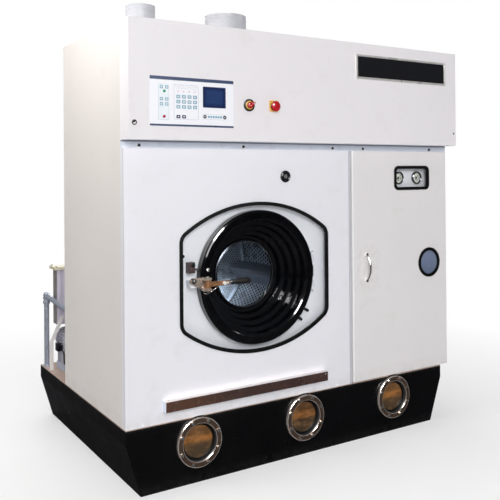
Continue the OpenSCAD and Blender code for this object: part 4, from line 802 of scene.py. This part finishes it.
# ---- gauges ----
GAUGE_Z = 1293.5
CARD = 32.5            # the dial's ink
arc = [math.radians(a) for a in range(-45, 46, 6)]
green_arc = [(17.5 * math.cos(t), 17.5 * math.sin(t)) for t in arc]
green_arc += [(14.5 * math.cos(t), 14.5 * math.sin(t)) for t in reversed(arc)]
GAUGE_X = (1542.0, 1672.0)
for side, x in zip(("left", "right"), GAUGE_X):
    middle = facing(x, CARD, GAUGE_Z)
    ticks = [(225 - k * 270 / 24, 6.0 if k % 4 == 0 else 3.2, 2.0 if k % 4 == 0 else 1.1) for k in range(25)]
    for part, finish, shapes in (
            ("dial", DIAL, [(turned, [(0, 0), (27.8, 0), (27.8, 0.4), (0, 0.5)], facing(x, 32.9, GAUGE_Z), 40)]),
            ("ticks", INK, [(plate, long, wide, 0.3, 0.25, facing(x, CARD, GAUGE_Z, FRONT, turn)
                             @ Matrix.Translation((25 - long / 2, 0, 0)), 0.05) for turn, long, wide in ticks]),
            ("arc", GREEN, [(skin, [(green_arc, 0), (green_arc, 0.2)], middle)]),
            ("print", INK, [(turned, [(4.6, 0), (7.2, 0), (7.2, 0.3), (4.6, 0.3)], middle, 32),
                            (plate, 13, 4, 0.6, 0.3, facing(x, CARD, 1282), 0.05)]),
            ("bezel", RING_STEEL, [(turned, [(27.2, -0.4), (27.2, 1.0), (28.4, 2.4), (30.6, 2.2), (32.4, 0.6),
                                             (32.4, -3)], facing(x, 24, GAUGE_Z), 48)]),
            ("cover", GAUGE_GLASS, [(turned, [(27.4, 0.8), (20, 1.5), (10, 1.8), (0, 1.9)],
                                     facing(x, 25.4, GAUGE_Z), 40)])):
        piece(side + "_gauge_" + part, finish, shapes, "service_door")
piece("gauge_plate_screws", BOLT, [
    (pan_head, facing(sum(GAUGE_X) / 2 + x, 36, GAUGE_Z + z), 3, 1.8)
    for x in (-104, 104) for z in (-42, 42)], "service_door")

# ---- sight ports: inner seal and gasket of each port ----
piece("port_glass_seals", RUBBER, [
    (turned, [(70, 0), (78.6, 0), (78.6, 4), (77, 5.4), (71.5, 4.6), (70, 3)], facing(x, 7.6, z), 72)
    for x, z in PORTS])
piece("port_gaskets", RUBBER, [
    (turned, [(107.1, 0), (111.5, 0), (111.5, 1.6), (110.2, 2.6), (107.1, 2.6)], facing(x, 0, z), 96)
    for x, z in PORTS])

# ---- ducts: stiffening beads, the seam's rivets and the flanges' screws ----
ROOF, DUCT_Y = 1958, 283
DUCTS = ((199, 66), (646, 100))
seam_x, seam_y = math.cos(math.radians(232)), math.sin(math.radians(232))
beads = []
for x, r in DUCTS:
    beads += [(turned, [(r, z), (r + 0.9, z + 2), (r + 1.4, z + 4), (r + 0.9, z + 6), (r, z + 8)],
               facing(x, DUCT_Y, ROOF, UP), 96) for z in (24, 103)]
    beads += [(pan_head, facing(x + (r + 0.9) * seam_x, DUCT_Y + (r + 0.9) * seam_y, 1974 + k * 26,
                                (seam_x, seam_y, 0)), 2.6, 1.2) for k in range(4)]
piece("duct_beads", ZINC, beads)
piece("roof_screws", BOLT, [
    (pan_head, facing(x, y, 1960, UP), 3.2, 1.8)
    for mid, r in DUCTS for x, y in around(mid, DUCT_Y, r + 10, 8, 22.5)] + [
    (pan_head, facing(x, y, ROOF, UP), 4.0, 2.0) for x in (40, 480, 940, 1400, 1846) for y in (60, 760)])

# ---- rear: panel screws, flange bolts, motor cowl, vessel fittings ----
piece("rear_screws", BOLT, [
    (pan_head, facing(x, REAR, z, BACK), 4.2, 2.2)
    for x in (40, 640, 1240, 1846) for z in (310, 700, 1100, 1500, 1900)])
piece("vent_lips", WHITE_SIDE, [(louvre, x, 1500 + k * 40) for x in (1300, 1520) for k in range(8)])
piece("bearing_bolts", BOLT, [
    (hex_bolt, facing(x, 757, z, BACK), 13, 6) for x, z in around(DOOR_X, DOOR_Z, 95, 6, 30)] + [
    (hex_bolt, facing(DOOR_X, 904, DOOR_Z, BACK), 30, 10)])
MOTOR_X, MOTOR_Z = MOTOR_AXIS
piece("motor_fan_guard", MOTOR, [
    (fan_guard, facing(MOTOR_X, 1175, MOTOR_Z, BACK), (22, 38, 54, 70, 84), 1.8, 2.2, 3.2, 48)] + [
    (plate, 88, 6, 1.5, 2.6, facing(MOTOR_X, 1175, MOTOR_Z, BACK, 45 + 90 * k) @ Matrix.Translation((46, 0, 0)), 0.8)
    for k in range(4)])
piece("motor_terminal_box", MOTOR, [
    (brick, (1085, 985, 512), (1155, 1060, 556), 4), (brick, (1081, 981, 555), (1159, 1064, 561), 2)])
piece("motor_screws", BOLT, [
    (pan_head, facing(MOTOR_X + x, y, 561, UP), 3.4, 2) for x in (-32, 32) for y in (990, 1050)] + [
    (hex_bolt, facing(x, y, 295, UP), 13, 6) for x in (1042, 1198) for y in (1000, 1090)])

PUMP_X, PUMP_Z = 112, 440
piece("pump_bolts", BOLT, [
    (hex_bolt, facing(x, 920, z), 10, 5) for x, z in around(PUMP_X, PUMP_Z, 28, 4, 45)] + [
    (hex_bolt, facing(x, 946, z), 8, 4) for x, z in around(PUMP_X, PUMP_Z, 53, 8, 22.5)] + [
    (hex_bolt, facing(x, y, 318, UP), 10, 5) for x in (97, 127) for y in (1012, 1103)] + [
    (hex_bolt, facing(x, y, 291, UP), 8, 4) for x, y in around(62, 850, 24, 4, 45)])
# The box and its stiff lead down to the deck
piece("pump_terminal_box", BLACK_ABS, [
    (brick, (46, 1036, 384), (74, 1086, 420), 3), (brick, (43.5, 1033, 381), (47, 1089, 423), 1.2),
    (tube, [(60, 1037, 398), (60, 1026, 398), (62, 1014, 390), (66, 1006, 370), (68, 1004, 320)], 4.5)])
piece("pump_fan_guard", PUMP, [
    (fan_guard, facing(PUMP_X, 1122, PUMP_Z, BACK), (14, 26, 38, 50), 1.4, 1.8, 2.6, 40)])
piece("cooler_ribs", COOLER, [
    (brick, (x, front, foot), (x + 11, back, 806), 1.0) for x in range(58, 451, 28)
    for front, back, foot in ((1062.0, 1065.4, 575), (1134.6, 1138.0, 530))])
piece("cooler_bolts", BOLT, [
    (hex_bolt, facing(x, y, 830, UP), 10, 5) for x in (44, 145, 246, 348, 472) for y in (1056, 1144)])
FILTER_X, FILTER_Y = 1560, 1000
piece("vessel_lid_bolts", BOLT, [
    (hex_bolt, facing(x, y, top - r * 0.4 + 24, UP), 12, 7)
    for mid_x, mid_y, r, top in ((FILTER_X, FILTER_Y, 120, 1150), (1678, 330, 170, 1180))
    for x, y in around(mid_x, mid_y, r + 7, 12, 15)])
piece("filter_vent_knob", BLACK_ABS, [
    (turned, [(0, 0), (14, 0), (14, 6), (24, 8), (26, 10), (26, 20), (22, 22), (0, 23)],
     facing(FILTER_X, FILTER_Y, 1178, UP), 40)] + [
    (turned, [(0, 10), (3, 10), (3, 20), (0, 20.5)], facing(x, y, 1178, UP), 10)
    for x, y in around(FILTER_X, FILTER_Y, 25, 10)])

# ---- camera, floor and light ----
# The camera as solved from the photograph, which is 500 px square
PHOTO, FOCAL, HORIZON = 500, 711.56, 169.78
EYE = (-2.0002, -3.3221, 1.3215)
yaw, pitch, roll = 0.5613, 0.0055, -0.0074
ahead = Vector((math.sin(yaw) * math.cos(pitch), math.cos(yaw) * math.cos(pitch), math.sin(pitch)))
right = Vector((math.cos(yaw), -math.sin(yaw), 0.0))
over = right.cross(ahead)
right, over = (right * math.cos(roll) + over * math.sin(roll), over * math.cos(roll) - right * math.sin(roll))
lens = bpy.data.cameras.new("photo_view")
lens.sensor_width = 36.0
lens.lens = FOCAL / PHOTO * lens.sensor_width
lens.shift_y = -(PHOTO / 2 - HORIZON) / PHOTO
camera = bpy.data.objects.new("photo_view", lens)
camera.matrix_world = Matrix.Translation(EYE) @ Matrix((right, over, -ahead)).transposed().to_4x4()
bpy.context.scene.collection.objects.link(camera)
bpy.context.scene.camera = camera

reach = 30
ground = bpy.data.meshes.new("studio_floor")
ground.from_pydata([(-reach, -reach, 0), (reach, -reach, 0), (reach, reach, 0), (-reach, reach, 0)], [], [(0, 1, 2, 3)])
floor = bpy.data.objects.new("studio_floor", ground)
bpy.context.scene.collection.objects.link(floor)
# Sealed pale screed, matt and nearly white, lit more brightly away from the machine so that it has no horizon,
# and dim in mirror images, as the dark room in front of the machine was
s = surface("sealed_pale_screed", "#f6f6f6", 0.7, drift=(0.01, 900), grain=(0.03, 20), level=0.1)
tree = s["tree"]
away = add(tree, "VectorMath", {0: s["where"]}, operation="LENGTH").outputs["Value"]
lit = add(tree, "Emission", {"Color": (1, 1, 1, 1), "Strength": 1.0})
glow = sums(tree, "MULTIPLY", spread(tree, away, 1.2, 3.0, 0.45, 1.0),
            add(tree, "LightPath").outputs["Is Camera Ray"])
shade = add(tree, "MixRGB", {"Fac": add(tree, "LightPath").outputs["Is Glossy Ray"],
                                       "Color1": s["colour"], "Color2": linear("#4a4a4d")})
tree.links.new(shade.outputs[0], s["shader"].inputs["Base Color"])
sweep = add(tree, "MixShader", {0: glow, 1: s["shader"].outputs[0], 2: lit.outputs[0]})
tree.links.new(sweep.outputs[0], tree.nodes["Material Output"].inputs["Surface"])
ground.materials.append(s["mat"])

world = bpy.data.worlds.new("soft_studio")
world.use_nodes = True
tree = world.node_tree
tree.nodes.clear()
seen = add(tree, "Background", {"Color": (1, 1, 1, 1), "Strength": 1.0})
felt = add(tree, "Background", {"Color": linear("#f2f1f4"), "Strength": 0.42})
mirrored = add(tree, "Background", {"Color": linear("#dfe6f5"), "Strength": 0.13})
path = add(tree, "LightPath")
dim = add(tree, "MixShader", {0: path.outputs["Is Glossy Ray"], 1: felt.outputs[0], 2: mirrored.outputs[0]})
both = add(tree, "MixShader", {0: path.outputs["Is Camera Ray"], 1: dim.outputs[0], 2: seen.outputs[0]})
add(tree, "OutputWorld", {"Surface": both.outputs[0]})
bpy.context.scene.world = world


def softbox(name, place, aim, w, h, watts, colour="#ffffff", fills=True, mirrored=True):
    """Rectangular studio light, which can be set only to fill or only to be mirrored."""
    lamp = bpy.data.lights.new(name, "AREA")
    lamp.shape = "RECTANGLE"
    lamp.size, lamp.size_y = w, h
    lamp.energy = watts
    lamp.color = linear(colour)[:3]
    obj = bpy.data.objects.new(name, lamp)
    obj.location = place
    obj.rotation_euler = (Vector(aim) - Vector(place)).to_track_quat("-Z", "Y").to_euler()
    obj.visible_camera = False
    obj.visible_diffuse = fills
    obj.visible_glossy = mirrored
    bpy.context.scene.collection.objects.link(obj)


softbox("front_light", (-2.2, -5.4, 3.0), (0.0, -0.4, 1.0), 2.6, 1.8, 134)
softbox("high_light", (-1.6, -2.6, 2.75), (-0.2, -0.6, 0.9), 2.4, 1.0, 640, fills=False)
softbox("left_light", (-2.0, -0.2, 2.9), (-0.9, 0.1, 1.5), 0.9, 0.9, 17, "#fffaf5")
softbox("corner_light", (-1.5, -0.52, 2.5), (-0.9, -0.3, 1.8), 0.4, 0.4, 5.5, mirrored=False)
softbox("right_light", (4.6, -3.6, 2.6), (0.4, 0.0, 1.0), 2.0, 2.4, 22, mirrored=False)
softbox("top_light", (0.0, 0.2, 4.8), (0.0, 0.0, 0.0), 3.0, 2.2, 46)
softbox("back_light", (1.2, 4.6, 2.4), (0.2, 0.5, 0.7), 2.6, 1.6, 60)

# A narrow lamp beside the camera that looks through the door's glass and lights the drum
lamp = bpy.data.lights.new("drum_light", "SPOT")
lamp.energy = 24
lamp.spot_size = math.radians(6.4)
lamp.spot_blend = 0.5
lamp.shadow_soft_size = 0.03
beam = bpy.data.objects.new("drum_light", lamp)
beam.location = (-1.55, -3.6, 0.8)
beam.rotation_euler = (at(DOOR_X, 130, DOOR_Z) - beam.location).to_track_quat("-Z", "Y").to_euler()
bpy.context.scene.collection.objects.link(beam)

bpy.context.scene.view_settings.view_transform = "Standard"
bpy.context.scene.view_settings.look = "None"
